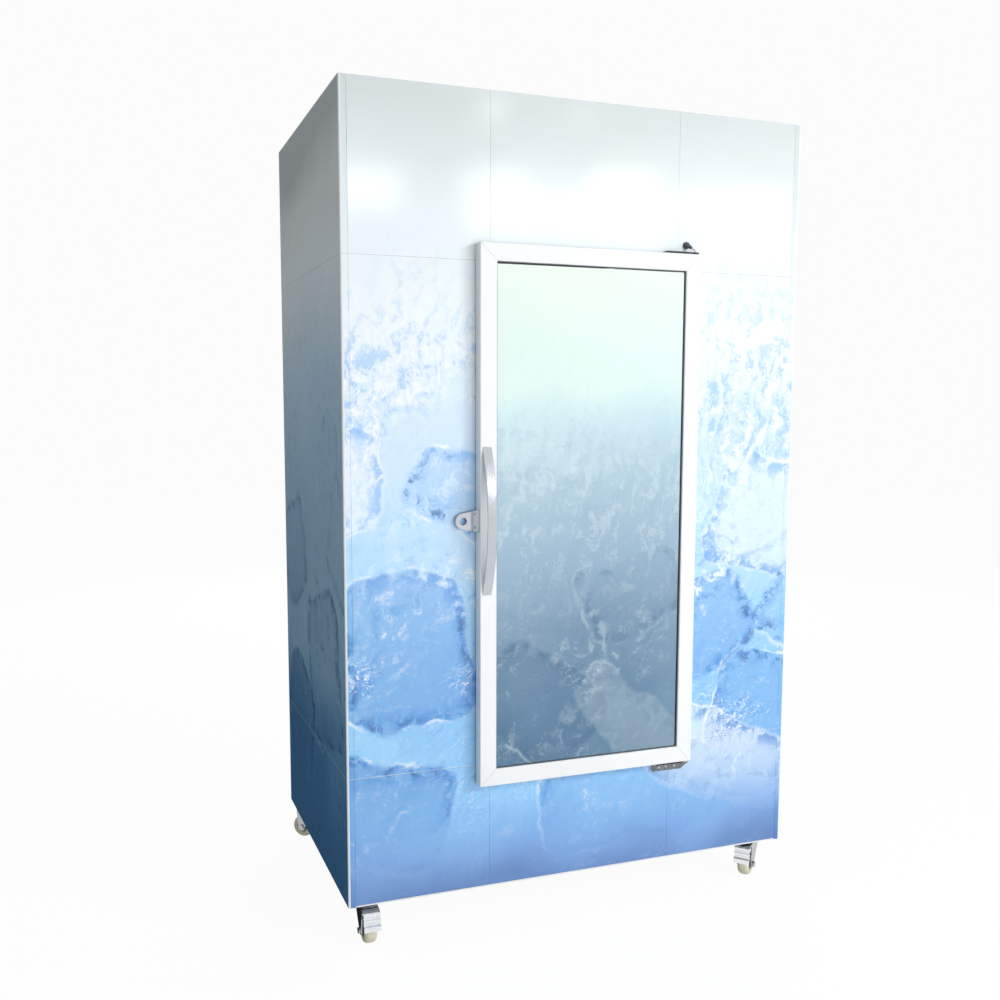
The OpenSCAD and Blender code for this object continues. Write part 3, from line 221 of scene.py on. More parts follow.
def shade(colour, factor):
    return tuple(min(1.0, c * factor) for c in colour[:3]) + (1.0,)


DUST = srgb(150, 146, 138)
DUST_TOP, DUST_FULL = 0.55, 0.1  # dust starts below the first height and is full at the second


def plain(name, colour, roughness, tint=0.05, grain=18.0, relief=0.15, relief_scale=260.0, depth=0.0002,
          spread=0.06, stretch=(1, 1, 1), dust=0.0, **fixed):
    """A finish with a slow change of tint and of gloss and a fine relief, stretched if it is brushed."""
    look = Look(name, **fixed)
    place = look.place()
    fine = look.mapped(place, stretch)
    tone = look.noise(place, grain, 4.0, 0.6)
    base = look.ramp(tone, [(0.3, shade(colour, 1 - tint)), (0.7, shade(colour, 1 + tint))])
    if dust:
        low_down = look.step(look.split(place)[2], DUST_TOP, DUST_FULL)
        patches = look.step(look.noise(place, 7.0, 5.0), 0.4, 0.7)
        base = look.mix(look.times(low_down, patches, dust), base, DUST)
    look.put("Base Color", base)
    gloss = look.noise(fine, grain * 2.3, 5.0, 0.6)
    look.put("Roughness", look.spread(gloss, roughness - spread, roughness + spread))
    look.bump(look.noise(fine, relief_scale, 3.0, 0.6), relief, depth)
    return look.material


def spangled(name, colour, roughness):
    """Zinc-coated steel: flat crystals that differ in tone and gloss."""
    look = Look(name, Metallic=1.0)
    place = look.place()
    uneven = look.moved(place, look.noise(place, 40.0, 2.0, output="Color"), 0.008)
    tone = look.split(look.cells(uneven, 95.0, output="Color"))[0]
    streak = look.noise(look.mapped(place, (4, 4, 0.6)), 60.0, 4.0)
    mixed = look.math("ADD", look.times(tone, 0.6), look.times(streak, 0.4))
    look.put("Base Color", look.ramp(mixed, [(0.2, shade(colour, 0.82)), (0.8, shade(colour, 1.12))]))
    look.put("Roughness", look.spread(tone, roughness - 0.1, roughness + 0.12))
    look.bump(tone, 0.2, 0.0001)
    return look.material


def foamed(name):
    """Cut foam: a yellowish skin, with painted shade in its pores."""
    look = Look(name, Roughness=0.9)
    place = look.place()
    pores = look.cells(place, 420.0)
    tone = look.noise(place, 9.0, 5.0)
    skin = look.ramp(tone, [(0.3, srgb(214, 190, 128)), (0.7, srgb(233, 214, 158))])
    # Painted shade in the pores' hollows
    look.put("Base Color", look.mix(look.step(pores, 0.35, 0.1), skin, srgb(186, 158, 96)))
    look.bump(pores, 0.7, 0.0008)
    return look.material


def glass(name, tint, roughness):
    """Clear glass with a faint smear and a slight wave."""
    look = Look(name, IOR=1.5, Transmission_Weight=1.0)
    place = look.place()
    smear = look.noise(look.mapped(place, (1, 1, 0.35)), 9.0, 6.0, 0.65)
    look.put("Base Color", look.ramp(smear, [(0.35, tint), (0.75, shade(tint, 0.97))]))
    look.put("Roughness", look.spread(look.step(smear, 0.5, 0.72), roughness, roughness + 0.05))
    look.bump(look.noise(place, 3.0), 0.05, 0.0003)
    return look.material


PALE_ICE = srgb(246, 251, 255)
FOOT_START, FOOT_END = 0.19, 0.42  # the picture fades in between these heights


def height_ramp(look, height, low, high, stops):
    """A colour for each height, where a stop is (metres, colour)."""
    share = look.math("DIVIDE", look.math("SUBTRACT", height, low), high - low)
    return look.ramp(share, [((z - low) / (high - low), colour) for z, colour in stops])


def ice_print(look, across, height, stops, inks, seed, blocks, drifting, strength, texture_top):
    """The colour of a printed picture of ice: a base that follows the height, a few rounded blocks with
    broken light rims, relief that looks lit from one side, thin cracks and flecks. Each shape is made up
    by noise and a short list of blocks. The inks are a deep, a middle and a bright blue, and a white."""
    strength = look.spread(look.step(height, FOOT_START, FOOT_END), 0.1 * strength, strength)
    node = look.add("ShaderNodeCombineXYZ")
    look.feed(node.inputs["X"], across)
    look.feed(node.inputs["Z"], height)
    plane = node.outputs[0]
    seen = look.mapped(plane, offset=(seed, seed * 0.37, -seed))
    slow = look.noise(seen, 2.1, 3.0, 0.5, output="Color")
    drift = look.math("ADD", height, look.times(look.math("SUBTRACT", look.split(slow)[0], 0.5), drifting))
    colour = height_ramp(look, drift, CORNER.z, BODY_TOP, stops)
    deep, middle, bright, white = inks
    darkest = shade(deep, 0.5)
    deep = look.mix(look.step(height, 0.72, 1.12), deep, middle)
    wavy = look.moved(look.moved(plane, look.noise(seen, 4.5, 3.0, output="Color"), 0.14),
                      look.noise(seen, 24.0, 5.0, 0.66, output="Color"), 0.026)
    curled = look.moved(seen, look.noise(seen, 8.0, 5.0, 0.62, output="Color"), 0.15)

    bumps = look.lit(curled, 17.0, 8.0, 0.66)
    ripples = look.lit(look.mapped(curled, (1, 1, 1.5)), 31.0, 7.0, 0.62)
    grain = look.lit(curled, 66.0, 5.0, 0.66)
    patchy = look.noise(seen, 3.4, 4.0, 0.55)
    below = look.step(height, texture_top, texture_top - 0.4)
    lively = look.times(below, look.step(patchy, 0.48, 0.64), strength)

    # Light that wells up inside the ice, in broad soft patches
    wells = look.noise(look.mapped(curled, (1, 1, 1.4)), 3.3, 2.0, 0.45)
    glow = look.times(below, look.step(wells, 0.46, 0.66), strength)
    colour = look.mix(look.times(glow, 0.5), colour, bright)

    # The blocks, each with a shaded edge, a sunken one if it is a deep one, and a light rim
    broken_rim = look.times(look.step(look.noise(seen, 9.0, 6.0, 0.65), 0.46, 0.6),
                            look.spread(look.step(look.noise(seen, 2.9, 2.0), 0.42, 0.58), 0.15, 1.0))
    heavy = look.step(look.noise(seen, 3.7, 2.0), 0.42, 0.52)
    for x, z, half_x, half_z, turn, tone in blocks:
        away = look.from_block(wavy, x, z, half_x, half_z, turn, min(half_x, half_z) * 0.45)
        target = deep if tone > 0 else white
        colour = look.mix(look.times(look.step(away, 0.007, -0.009), abs(tone), strength), colour, target)
        edge = look.times(look.band(away, -0.06, -0.009, 0.0), look.step(bumps, 0.08, -0.06), strength)
        colour = look.mix(look.times(edge, 0.8), colour, deep)
        if tone > 0:
            inner = look.band(away, -0.034, -0.014, -0.003)
            sunken = look.times(inner, look.step(bumps, 0.0, -0.1), heavy, strength)
            colour = look.mix(look.times(sunken, 0.8), colour, darkest)
        rim = look.times(look.band(away, -0.004, 0.001, 0.01), broken_rim, strength)
        colour = look.mix(look.times(rim, 0.85), colour, white)

    # Relief in three sizes: bumps, ripples and a fizz of fine grain
    colour = look.mix(look.times(lively, look.step(bumps, 0.03, 0.17), 0.85), colour, white)
    colour = look.mix(look.times(lively, look.step(bumps, -0.03, -0.16), 0.7), colour, deep)
    soft = look.times(below, look.step(patchy, 0.62, 0.4), strength)
    colour = look.mix(look.times(soft, look.step(ripples, 0.05, 0.18), 0.22), colour, white)
    colour = look.mix(look.times(soft, look.step(ripples, -0.04, -0.18), 0.24), colour, deep)
    fizzy = look.times(look.step(height, texture_top - 0.1, texture_top - 0.4),
                       look.step(look.noise(seen, 5.2, 3.0), 0.55, 0.7), strength)
    colour = look.mix(look.times(fizzy, look.step(grain, 0.05, 0.12), 0.8), colour, white)
    colour = look.mix(look.times(fizzy, look.step(grain, -0.05, -0.13), 0.8), colour, deep)

    # Thin wandering cracks, and streaks of frost higher up
    vein = look.math("ABSOLUTE", look.math("SUBTRACT", look.noise(curled, 3.2, 4.0, 0.55), 0.5))
    broken = look.step(look.noise(seen, 13.0, 3.0), 0.45, 0.6)
    colour = look.mix(look.times(look.step(vein, 0.005, 0.001), broken, lively, 0.6), colour, white)
    frost = look.lit(look.mapped(curled, (1, 1, 0.42)), 30.0, 7.0, 0.68)
    high = look.times(look.band(height, texture_top - 0.35, texture_top + 0.02, texture_top + 0.48),
                      look.step(patchy, 0.3, 0.52), strength)
    colour = look.mix(look.times(high, look.step(frost, 0.02, 0.11), 0.85), colour, white)
    colour = look.mix(look.times(high, look.step(frost, -0.02, -0.12), 0.62), colour, middle)
    return colour


def film_relief(look, place, colour, waves=0.35):
    """The film lies on flat steel, with a slight wave, a fine grain and a few dull marks."""
    look.put("Base Color", colour)
    wave = look.noise(place, 4.2, 2.0, 0.5)
    worn = look.noise(place, 14.0, 6.0, 0.65)
    look.put("Roughness", look.spread(look.step(worn, 0.35, 0.8), 0.22, 0.28))
    first = look.bump(wave, waves, 0.006)
    look.bump(look.noise(place, 320.0, 2.0), 0.06, 0.0002, first)


# For each film: its colours as (height, colour), and its blocks.
FRONT_STOPS = [
    (0.11, srgb(88, 130, 190)), (0.2, srgb(120, 168, 228)), (0.34, srgb(138, 197, 247)),
    (0.55, srgb(144, 201, 247)), (0.78, srgb(164, 214, 251)), (1.0, srgb(194, 225, 250)),
    (1.26, srgb(212, 232, 250)), (1.48, srgb(236, 246, 250)), (1.7, srgb(228, 238, 242)),
    (1.88, srgb(216, 225, 227)), (2.02, srgb(210, 219, 220)),
]
FRONT_BLOCKS = [  # across, height, half sizes, turn in degrees, how deep (or pale, below 0)
    (-0.47, 0.72, 0.16, 0.19, -12, 0.5), (-0.56, 0.33, 0.2, 0.13, 9, 0.62), (-0.34, 1.1, 0.12, 0.09, 24, 0.3),
    (-0.62, 1.12, 0.1, 0.12, -8, -0.5), (0.52, 1.02, 0.15, 0.14, 16, -0.45),
    (0.36, 0.74, 0.14, 0.13, -20, 0.4), (0.53, 0.47, 0.15, 0.17, 7, 0.3), (0.14, 0.29, 0.26, 0.12, -6, 0.3),
    (0.62, 0.76, 0.1, 0.1, 30, 0.12), (0.41, 0.37, 0.21, 0.11, 24, -0.5),
]
SIDE_STOPS = [
    (0.11, srgb(66, 126, 178)), (0.4, srgb(72, 134, 186)), (0.53, srgb(106, 161, 206)),
    (0.66, srgb(160, 205, 235)), (0.94, srgb(158, 202, 232)), (1.18, srgb(167, 209, 238)),
    (1.36, srgb(190, 224, 248)), (1.66, srgb(234, 248, 252)), (1.83, srgb(222, 232, 236)),
    (1.94, srgb(178, 191, 194)),
]
SIDE_BLOCKS = [
    (-0.12, 0.62, 0.2, 0.2, 10, 0.3), (0.22, 0.4, 0.17, 0.2, -14, 0.6), (0.26, 0.9, 0.16, 0.15, 20, 0.35),
    (-0.3, 0.98, 0.12, 0.13, -22, -0.3),
]
GLASS_STOPS = [
    (0.42, srgb(80, 117, 148)), (0.52, srgb(90, 127, 157)), (0.71, srgb(112, 143, 170)),
    (0.91, srgb(148, 176, 198)), (1.12, srgb(176, 203, 216)), (1.27, srgb(200, 227, 233)),
    (1.36, srgb(220, 241, 237)), (1.64, srgb(230, 245, 233)),
]
GLASS_BLOCKS = [
    (-0.13, 0.56, 0.17, 0.12, 34, 0.8), (0.13, 0.5, 0.2, 0.07, 40, -0.55), (0.12, 0.83, 0.14, 0.1, -12, 0.4),
    (-0.15, 1.19, 0.14, 0.06, 8, -0.6),
]


# Where a seam's painted shadow and its painted highlight start, are strongest and end, from the seam's height
SEAM_SHADOW = (-0.0022, -0.0011, 0.0)
SEAM_HIGHLIGHT = (-0.0004, 0.0006, 0.0018)


def seams(look, colour, height):
    """The two level joints between the film's sheets: a thin painted shadow under a painted highlight on the
    edge.
    """
    for level in (LOW_SEAM, HIGH_SEAM):
        # A painted shadow just below each seam, and a painted highlight on the sheet's edge just above it
        shadow = look.band(height, *(level + step for step in SEAM_SHADOW))
        edge = look.band(height, *(level + step for step in SEAM_HIGHLIGHT))
        colour = look.mix(look.times(shadow, 0.55), colour, srgb(128, 140, 152))
        colour = look.mix(look.times(edge, 0.5), colour, PALE_ICE)
    return colour


def front_picture(look, across, height):
    inks = (srgb(76, 142, 216), srgb(138, 190, 244), srgb(164, 220, 252), PALE_ICE)
    return ice_print(look, across, height, FRONT_STOPS, inks, 3.1, FRONT_BLOCKS, 0.3, 1.0, 1.28)


def front_film(name):
    look = Look(name, Coat_Weight=0.8, Coat_Roughness=0.1)
    place = look.place()
    x, _, height = look.split(place)
    film_relief(look, place, seams(look, front_picture(look, x, height), height))
    return look.material


SKIN = 0.001  # the side's print lies this close to the panel's outer face
BEND = 0.005  # from the corner to where each print ends, with bare paint between them
FILM_DEPTH = 0.7745  # from the front to where the side's print ends
BLUR = 0.0005  # half the width of a print's soft edge


def side_film(name):
    """The side's print on the panel's web, the front's on its fold, and bare white paint at the bend."""
    look = Look(name, Specular_IOR_Level=0.35)
    place = look.place()
    x, y, height = look.split(place)
    inks = (srgb(44, 104, 160), srgb(112, 168, 216), srgb(124, 180, 220), srgb(176, 214, 240))
    side = ice_print(look, y, height, SIDE_STOPS, inks, 8.3, SIDE_BLOCKS, 0.3, 0.6, 1.2)
    out = look.math("ABSOLUTE", x)
    half = -CORNER.x
    on_fold = look.step(out, half - SKIN, half - 1.2 * SKIN)
    colour = look.mix(on_fold, side, front_picture(look, x, height))
    near_side = look.step(out, half - BEND - BLUR, half - BEND + BLUR)
    near_front = look.step(y, FRONT_Y + BEND + BLUR, FRONT_Y + BEND - BLUR)
    behind = look.step(y, FRONT_Y + FILM_DEPTH - 2 * BLUR, FRONT_Y + FILM_DEPTH + 2 * BLUR)
    bare = look.math("MAXIMUM", look.times(near_side, near_front), behind)
    film_relief(look, place, look.mix(bare, seams(look, colour, height), srgb(238, 241, 243)), 0.12)
    return look.material


def glass_film(name):
    look = Look(name, Coat_Weight=0.4, Coat_Roughness=0.06)
    place = look.place()
    x, _, height = look.split(place)
    inks = (srgb(66, 106, 142), srgb(138, 172, 196), srgb(150, 182, 204), srgb(222, 238, 240))
    picture = ice_print(look, x, height, GLASS_STOPS, inks, 5.4, GLASS_BLOCKS, 0.26, 0.32, 1.05)
    film_relief(look, place, picture)
    return look.material


FRAME_FACE = 0.01  # the frame's front face lies within this depth, give or take FACE_BLUR
FACE_BLUR = 0.002
HAIRLINE = 0.0005  # how far a mitre's line reaches from the corner's diagonal, with its soft edge
HAIR_BLUR = 0.0002


def frame_paint(name):
    """The door frame's powder coat, with a hairline at each mitred corner."""
    look = Look(name)
    place = look.place()
    low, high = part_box("door_frame")
    x, y, z = look.split(place)
    in_x = look.math("MINIMUM", look.math("SUBTRACT", x, low.x), look.math("SUBTRACT", high.x, x))
    in_z = look.math("MINIMUM", look.math("SUBTRACT", z, low.z), look.math("SUBTRACT", high.z, z))
    off = look.math("ABSOLUTE", look.math("SUBTRACT", in_x, in_z))
    at_front = look.step(y, low.y + FRAME_FACE + FACE_BLUR, low.y + FRAME_FACE - FACE_BLUR)
    line = look.times(look.step(off, HAIRLINE + HAIR_BLUR, HAIRLINE - HAIR_BLUR), at_front, 0.3)
    tone = look.noise(place, 6.0, 4.0)
    paint = look.ramp(tone, [(0.3, srgb(239, 241, 242)), (0.7, srgb(244, 246, 247))])
    look.put("Base Color", look.mix(line, paint, srgb(128, 134, 142)))
    look.put("Roughness", look.spread(look.noise(place, 12.0, 5.0), 0.3, 0.42))
    look.bump(look.noise(place, 480.0, 2.0), 0.15, 0.0002)
    return look.material


LOOKS = {
    "front_film": front_film("print_front"),
    "side_film": side_film("print_side"),
    "white_steel": plain("white_steel", srgb(238, 241, 243), 0.3, 0.02, 6.0, 0.2, 420.0, 0.0002, dust=0.16),
    "galvanised": spangled("galvanised", srgb(176, 180, 184), 0.42),
    "foam": foamed("foam"),
    "liner": plain("liner_plastic", srgb(238, 241, 243), 0.34, 0.02, 5.0, 0.25, 240.0, 0.0003),
    "throat": plain("throat_plastic", srgb(232, 235, 238), 0.38, 0.02, 8.0, 0.2, 300.0, 0.0002),
    "lamp": plain("lamp_lens", srgb(244, 247, 250), 0.3, 0.02, 10.0, 0.1, 200.0, 0.0001,
                  Transmission_Weight=0.25),
    "rack": plain("rack_plastic", srgb(206, 211, 216), 0.55, 0.04, 20.0, 0.4, 380.0, 0.0004),
    "fin_aluminium": plain("fin_aluminium", srgb(196, 199, 204), 0.34, 0.06, 40.0, 0.2, 300.0, 0.0002, 0.1,
                           (1, 1, 6), Metallic=1.0),
    "evaporator_white": plain("cover_paint", srgb(236, 239, 241), 0.4, 0.02, 9.0, 0.25, 380.0, 0.0002),
    "black_paint": plain("black_paint", srgb(34, 35, 38), 0.38, 0.15, 14.0, 0.3, 260.0, 0.0003),
    "black_plastic": plain("black_plastic", srgb(34, 35, 37), 0.5, 0.12, 30.0, 0.5, 700.0, 0.0003),
    "drain_plastic": plain("drain_plastic", srgb(228, 229, 228), 0.45, 0.04, 20.0, 0.2, 300.0, 0.0002),
    "copper": plain("copper", srgb(196, 128, 96), 0.28, 0.14, 30.0, 0.15, 200.0, 0.0002, Metallic=1.0),
    "control_paint": plain("control_paint", srgb(72, 75, 80), 0.42, 0.06, 14.0, 0.4, 420.0, 0.0003),
    "grey_rubber": plain("grey_rubber", srgb(88, 91, 96), 0.62, 0.08, 40.0, 0.4, 500.0, 0.0003),
    "lead_white": plain("lead_jacket", srgb(222, 225, 228), 0.42, 0.04, 60.0, 0.2, 400.0, 0.0002),
    "hinge_dark": plain("hinge_dark", srgb(76, 79, 84), 0.4, 0.1, 30.0, 0.3, 320.0, 0.0002, Metallic=0.5),
    "zinc": plain("zinc_plate", srgb(190, 192, 194), 0.36, 0.12, 26.0, 0.3, 240.0, 0.0002, 0.1, Metallic=1.0),
    "chrome": plain("chrome", srgb(206, 209, 214), 0.13, 0.04, 20.0, 0.12, 60.0, 0.0002, 0.05, Metallic=1.0),
    "door_white": frame_paint("door_powder"),
    "film_glass": glass("outer_glass", srgb(226, 238, 236), 0.02),
    "clear_glass": glass("inner_glass", srgb(226, 240, 236), 0.02),
    "spacer": plain("spacer_aluminium", srgb(184, 187, 190), 0.32, 0.05, 30.0, 0.2, 300.0, 0.0001,
                    Metallic=1.0),
    "black_seal": plain("glazing_rubber", srgb(118, 123, 127), 0.6, 0.1, 40.0, 0.4, 500.0, 0.0002),
    "gasket_grey": plain("gasket_vinyl", srgb(150, 154, 160), 0.5, 0.05, 30.0, 0.3, 400.0, 0.0002),
    "handle_satin": plain("satin_aluminium", srgb(202, 206, 212), 0.25, 0.03, 20.0, 0.25, 500.0, 0.0001, 0.05,
                          (6, 6, 0.35), Metallic=1.0),
    "bush_plastic": plain("bush_nylon", srgb(226, 224, 212), 0.45, 0.04, 40.0, 0.2, 400.0, 0.0002),
    "wheel_cream": plain("wheel_nylon", srgb(226, 223, 196), 0.4, 0.05, 30.0, 0.25, 300.0, 0.0003, dust=0.2),
    "switch_red": plain("rocker_red", srgb(190, 26, 24), 0.25, 0.06, 60.0, 0.15, 500.0, 0.0001),
}
DARK_HUB = plain("hub_plastic", srgb(70, 72, 76), 0.5, 0.1, 40.0, 0.4, 500.0, 0.0003)
# A darker copy of the chrome for the caster plates: painted shade under the cabinet
SHADED_RACE_CHROME = plain("shaded_race_chrome", srgb(112, 118, 121), 0.3, 0.12, 50.0, 0.25, 120.0, 0.0002, 0.1,
                   Metallic=1.0)
# A darker copy of the chrome for the forks and the crown lips: painted shade
SHADED_FORK_CHROME = plain("shaded_fork_chrome", srgb(172, 177, 181), 0.16, 0.06, 30.0, 0.15, 80.0, 0.0002, 0.06,
                   Metallic=1.0)
# A lighter copy of the chrome for the pedals, brighter than the chrome itself: painted highlight
LIT_PEDAL_CHROME = plain("lit_pedal_chrome", srgb(232, 235, 239), 0.12, 0.04, 30.0, 0.12, 80.0, 0.0002, 0.05,
                    Metallic=1.0)
# A darker copy of the zinc plate for the lower hinge, with a strongly uneven tone: painted shade low on the
# door
SHADED_ZINC = plain("shaded_mottled_zinc", srgb(128, 131, 136), 0.4, 0.38, 120.0, 0.5, 300.0, 0.0003, 0.1,
                  Metallic=1.0)
DARK_INK = plain("dark_ink", srgb(40, 42, 46), 0.6, 0.1, 60.0, 0.1, 500.0, 0.0001)
PRINTED_FILM = glass_film("print_glass")

for node, obj in frame["nodes"].items():
    if not obj.material_slots:
        obj.data.materials.append(None)
    for material_slot in obj.material_slots:
        # The caster plates take the darker copy of the chrome, which is painted shade
        material_slot.material = SHADED_RACE_CHROME if node == "caster_plates" else LOOKS[SLOT_OF[node]]


# ------------------------------------------------------------------------------------- pieces


def piece(name, bm, material, body, nodes=(), sharp=35.0):
    """A new mesh piece that rides on a body, smooth but for the edges sharper than an angle."""
    mesh = bpy.data.meshes.new(name)
    bm.normal_update()
    bm.to_mesh(mesh)
    bm.free()
    mesh.materials.append(material)
    mesh.polygons.foreach_set("use_smooth", [True] * len(mesh.polygons))
    mesh.set_sharp_from_angle(angle=math.radians(sharp))
    obj = bpy.data.objects.new(name, mesh)
    bpy.context.scene.collection.objects.link(obj)
    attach(obj, body)
    if nodes:
        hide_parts(*nodes)
    return obj


def softened(node, width, name, segments=3, finish=None):
    """A CAD node's shape with its sharp edges rounded, in its place."""
    source = bmesh.new()
    source.from_mesh(frame["nodes"][node].data)
    bmesh.ops.remove_doubles(source, verts=source.verts, dist=2e-6)
    bmesh.ops.dissolve_limit(source, angle_limit=math.radians(0.5), verts=source.verts, edges=source.edges)
    clean = bpy.data.meshes.new(name)
    source.verts.ensure_lookup_table()
    clean.from_pydata([v.co[:] for v in source.verts], [], [[v.index for v in f.verts] for f in source.faces])
    source.free()
    bm = bmesh.new()
    bm.from_mesh(clean)
    bpy.data.meshes.remove(clean)
    slot = SLOT_OF[node]
    obj = piece(name, bm, finish or LOOKS[slot], BODY_OF[node], (node,), 180.0)
    bevel = obj.modifiers.new("edges", "BEVEL")
    bevel.width = width
    bevel.segments = segments
    bevel.limit_method = "ANGLE"
    bevel.angle_limit = math.radians(32)
    bevel.use_clamp_overlap = True
    bevel.harden_normals = False
    obj.modifiers.new("normals", "WEIGHTED_NORMAL")
    return obj


def lathe(profile, turn, centre, segments=64):
    """A closed profile of (radius, along), turned about Y, then set at a centre with an angle about Z."""
    bm = bmesh.new()
    rings = []
    for i in range(segments):
        a = 2 * math.pi * i / segments
        rings.append([bm.verts.new((r * math.cos(a), y, r * math.sin(a))) for r, y in profile])
    count = len(profile)
    for i in range(segments):
        here, there = rings[i], rings[(i + 1) % segments]
        for k in range(count):
            bm.faces.new((here[k], here[(k + 1) % count], there[(k + 1) % count], there[k]))
    bmesh.ops.recalc_face_normals(bm, faces=bm.faces)
    bm.transform(Matrix.Translation(centre) @ Matrix.Rotation(math.radians(turn), 4, "Z"))
    return bm


def ring(profile, low, high):
    """A profile of (distance in, y) swept round a rectangle in the XZ plane with mitred corners."""
    bm = bmesh.new()
    loops = []
    for inward, y in profile:
        x0, z0, x1, z1 = low[0] + inward, low[1] + inward, high[0] - inward, high[1] - inward
        loops.append([bm.verts.new(p) for p in ((x0, y, z0), (x1, y, z0), (x1, y, z1), (x0, y, z1))])
    for k, here in enumerate(loops):
        there = loops[(k + 1) % len(loops)]
        for i in range(4):
            bm.faces.new((here[i], here[(i + 1) % 4], there[(i + 1) % 4], there[i]))
    bmesh.ops.recalc_face_normals(bm, faces=bm.faces)
    return bm


def slab(outline, y0, y1):
    """A flat plate between two values of y, with its outline given as (x, z)."""
    bm = bmesh.new()
    front = [bm.verts.new((x, y0, z)) for x, z in outline]
    back = [bm.verts.new((x, y1, z)) for x, z in outline]
    bm.faces.new(front)
    bm.faces.new(back[::-1])
    for i in range(len(outline)):
        j = (i + 1) % len(outline)
        bm.faces.new((front[i], back[i], back[j], front[j]))
    bmesh.ops.recalc_face_normals(bm, faces=bm.faces)
    return bm


def upright_blocks(spans):
    """Upright blocks, each given by two opposite corners."""
    bm = bmesh.new()
    for low, high in spans:
        xs, ys, zs = zip(low, high)
        at = [bm.verts.new((x, y, z)) for x in xs for y in ys for z in zs]
        for face in ((0, 1, 3, 2), (4, 6, 7, 5), (0, 4, 5, 1), (2, 3, 7, 6), (0, 2, 6, 4), (1, 5, 7, 3)):
            bm.faces.new([at[i] for i in face])
    return bm


SIGHT_IN = 0.0135  # how far the frame and the seal cover the pane on each side
FILM_MARGIN = 0.0005  # between the film and the frame, on the left and at the foot
RIGHT_SHORT = (0.0024, 0.0019)  # on the right, at the foot and at the top
TOP_SHORT = (0.0016, 0.0034)  # at the top, on the right and on the left
FILM_FRONT, FILM_BACK = 0.0002, 0.00002  # the film's two faces, out from the pane


def glass_sheet():
    """The printed film on the door's glass, which stops a little short at the top and on the right."""
    low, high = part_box("outer_pane")
    left, foot = low.x + SIGHT_IN + FILM_MARGIN, low.z + SIGHT_IN + FILM_MARGIN
    right, top = high.x - SIGHT_IN, high.z - SIGHT_IN
    outline = [(left, foot), (right - RIGHT_SHORT[0], foot), (right - RIGHT_SHORT[1], top - TOP_SHORT[0]),
               (left, top - TOP_SHORT[1])]
    return slab(outline, low.y - FILM_FRONT, low.y - FILM_BACK)


piece("door_film", glass_sheet(), PRINTED_FILM, "door")

# Casters: cream tyres with a crowned tread and dark hubs, on forks and pedals with rounded edges.
# Each profile is (radius, along the axle) in millimetres.
TREAD = [(32.5, 0), (32.4, 4.5), (32.0, 7.6), (31.0, 10.4), (29.4, 12.7), (27.3, 14.4), (25.0, 15.3),
         (23.8, 15.5), (23.2, 15.0), (22.6, 15.5), (18.6, 15.5), (17.2, 14.8), (16.4, 12.6), (15.8, 8.4),
         (13.0, 7.8)]
HUB = [(12.6, 7.6), (12.2, 15.8), (11.2, 17.0), (8.8, 17.4), (6.0, 17.4), (4.12, 17.0)]


def mirrored(half):
    """A profile in metres, from its upper half in millimetres, which runs from its rim to its bore."""
    lower = [(r, -y) for r, y in reversed(half) if y > 0]
    return [(r / 1000, y / 1000) for r, y in half + lower]


JOINTS = {joint["name"]: joint for joint in RECORD["behaviour"]["joints"]}
CASTERS = ("front_left", "front_right", "back_left", "back_right")
LIP_NEAR, LIP_FAR, LIP_HALF = 0.0262, 0.0412, 0.0206  # from the kingpin, and half its width
LIP_TOP, LIP_BOTTOM = 0.0126, 0.0148  # below the cabinet's floor
LIP_ROUND = 0.0007


def trail_angle(corner):
    """How far a caster is turned about its kingpin at rest, in degrees, from where its wheel trails."""
    x, y, _ = JOINTS["swivel_" + corner + "_turn"]["pos_m"]
    wheel_x, wheel_y, _ = JOINTS["wheel_" + corner + "_roll"]["pos_m"]
    return math.degrees(math.atan2(wheel_y - y, wheel_x - x))


def crown_lip(corner):
    """The thin lip with which a front fork's crown reaches out over the pedal's lugs."""
    bm = upright_blocks([((LIP_NEAR, -LIP_HALF, -LIP_BOTTOM), (LIP_FAR, LIP_HALF, -LIP_TOP))])
    bmesh.ops.bevel(bm, geom=bm.edges[:], offset=LIP_ROUND, segments=3, affect="EDGES", profile=0.5)
    x, y, _ = JOINTS["swivel_" + corner + "_turn"]["pos_m"]
    turn = Matrix.Rotation(math.radians(trail_angle(corner)), 4, "Z")
    bm.transform(Matrix.Translation((x, y, CORNER.z)) @ turn)
    return bm


for corner in CASTERS:
    low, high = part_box("wheel_" + corner)
    centre, turn = (low + high) / 2, trail_angle(corner)
    roller = "roller_" + corner
    piece("tyre_" + corner, lathe(mirrored(TREAD), turn, centre, 96), LOOKS["wheel_cream"], roller,
          ("wheel_" + corner,), 40.0)
    piece("hub_" + corner, lathe(mirrored(HUB), turn, centre), DARK_HUB, roller, sharp=40.0)
    # The forks take the darker copy of the chrome, which is painted shade
    softened("fork_" + corner, 0.0008, "fork_shape_" + corner, finish=SHADED_FORK_CHROME)
for side in ("left", "right"):
    # The pedals take the lighter copy of the chrome, which is a painted highlight
    softened("brake_pedal_" + side, 0.0011, "pedal_shape_" + side, finish=LIT_PEDAL_CHROME)
    piece("crown_lip_" + side, crown_lip("front_" + side), SHADED_FORK_CHROME, "swivel_front_" + side)

# Door furniture and brackets with rounded edges.
softened("door_frame", 0.0009, "frame_profile")
softened("door_handle", 0.0016, "handle_strap", 4)
softened("lock_hasp", 0.0006, "hasp_tab")
softened("lock_keeper", 0.0006, "keeper_tab")
softened("top_hinge", 0.0005, "upper_bracket")
# The lower hinge takes the darker zinc, which is painted shade
softened("bottom_hinge", 0.0006, "lower_bracket", finish=SHADED_ZINC)
softened("cable_gland", 0.0008, "gland_boot")

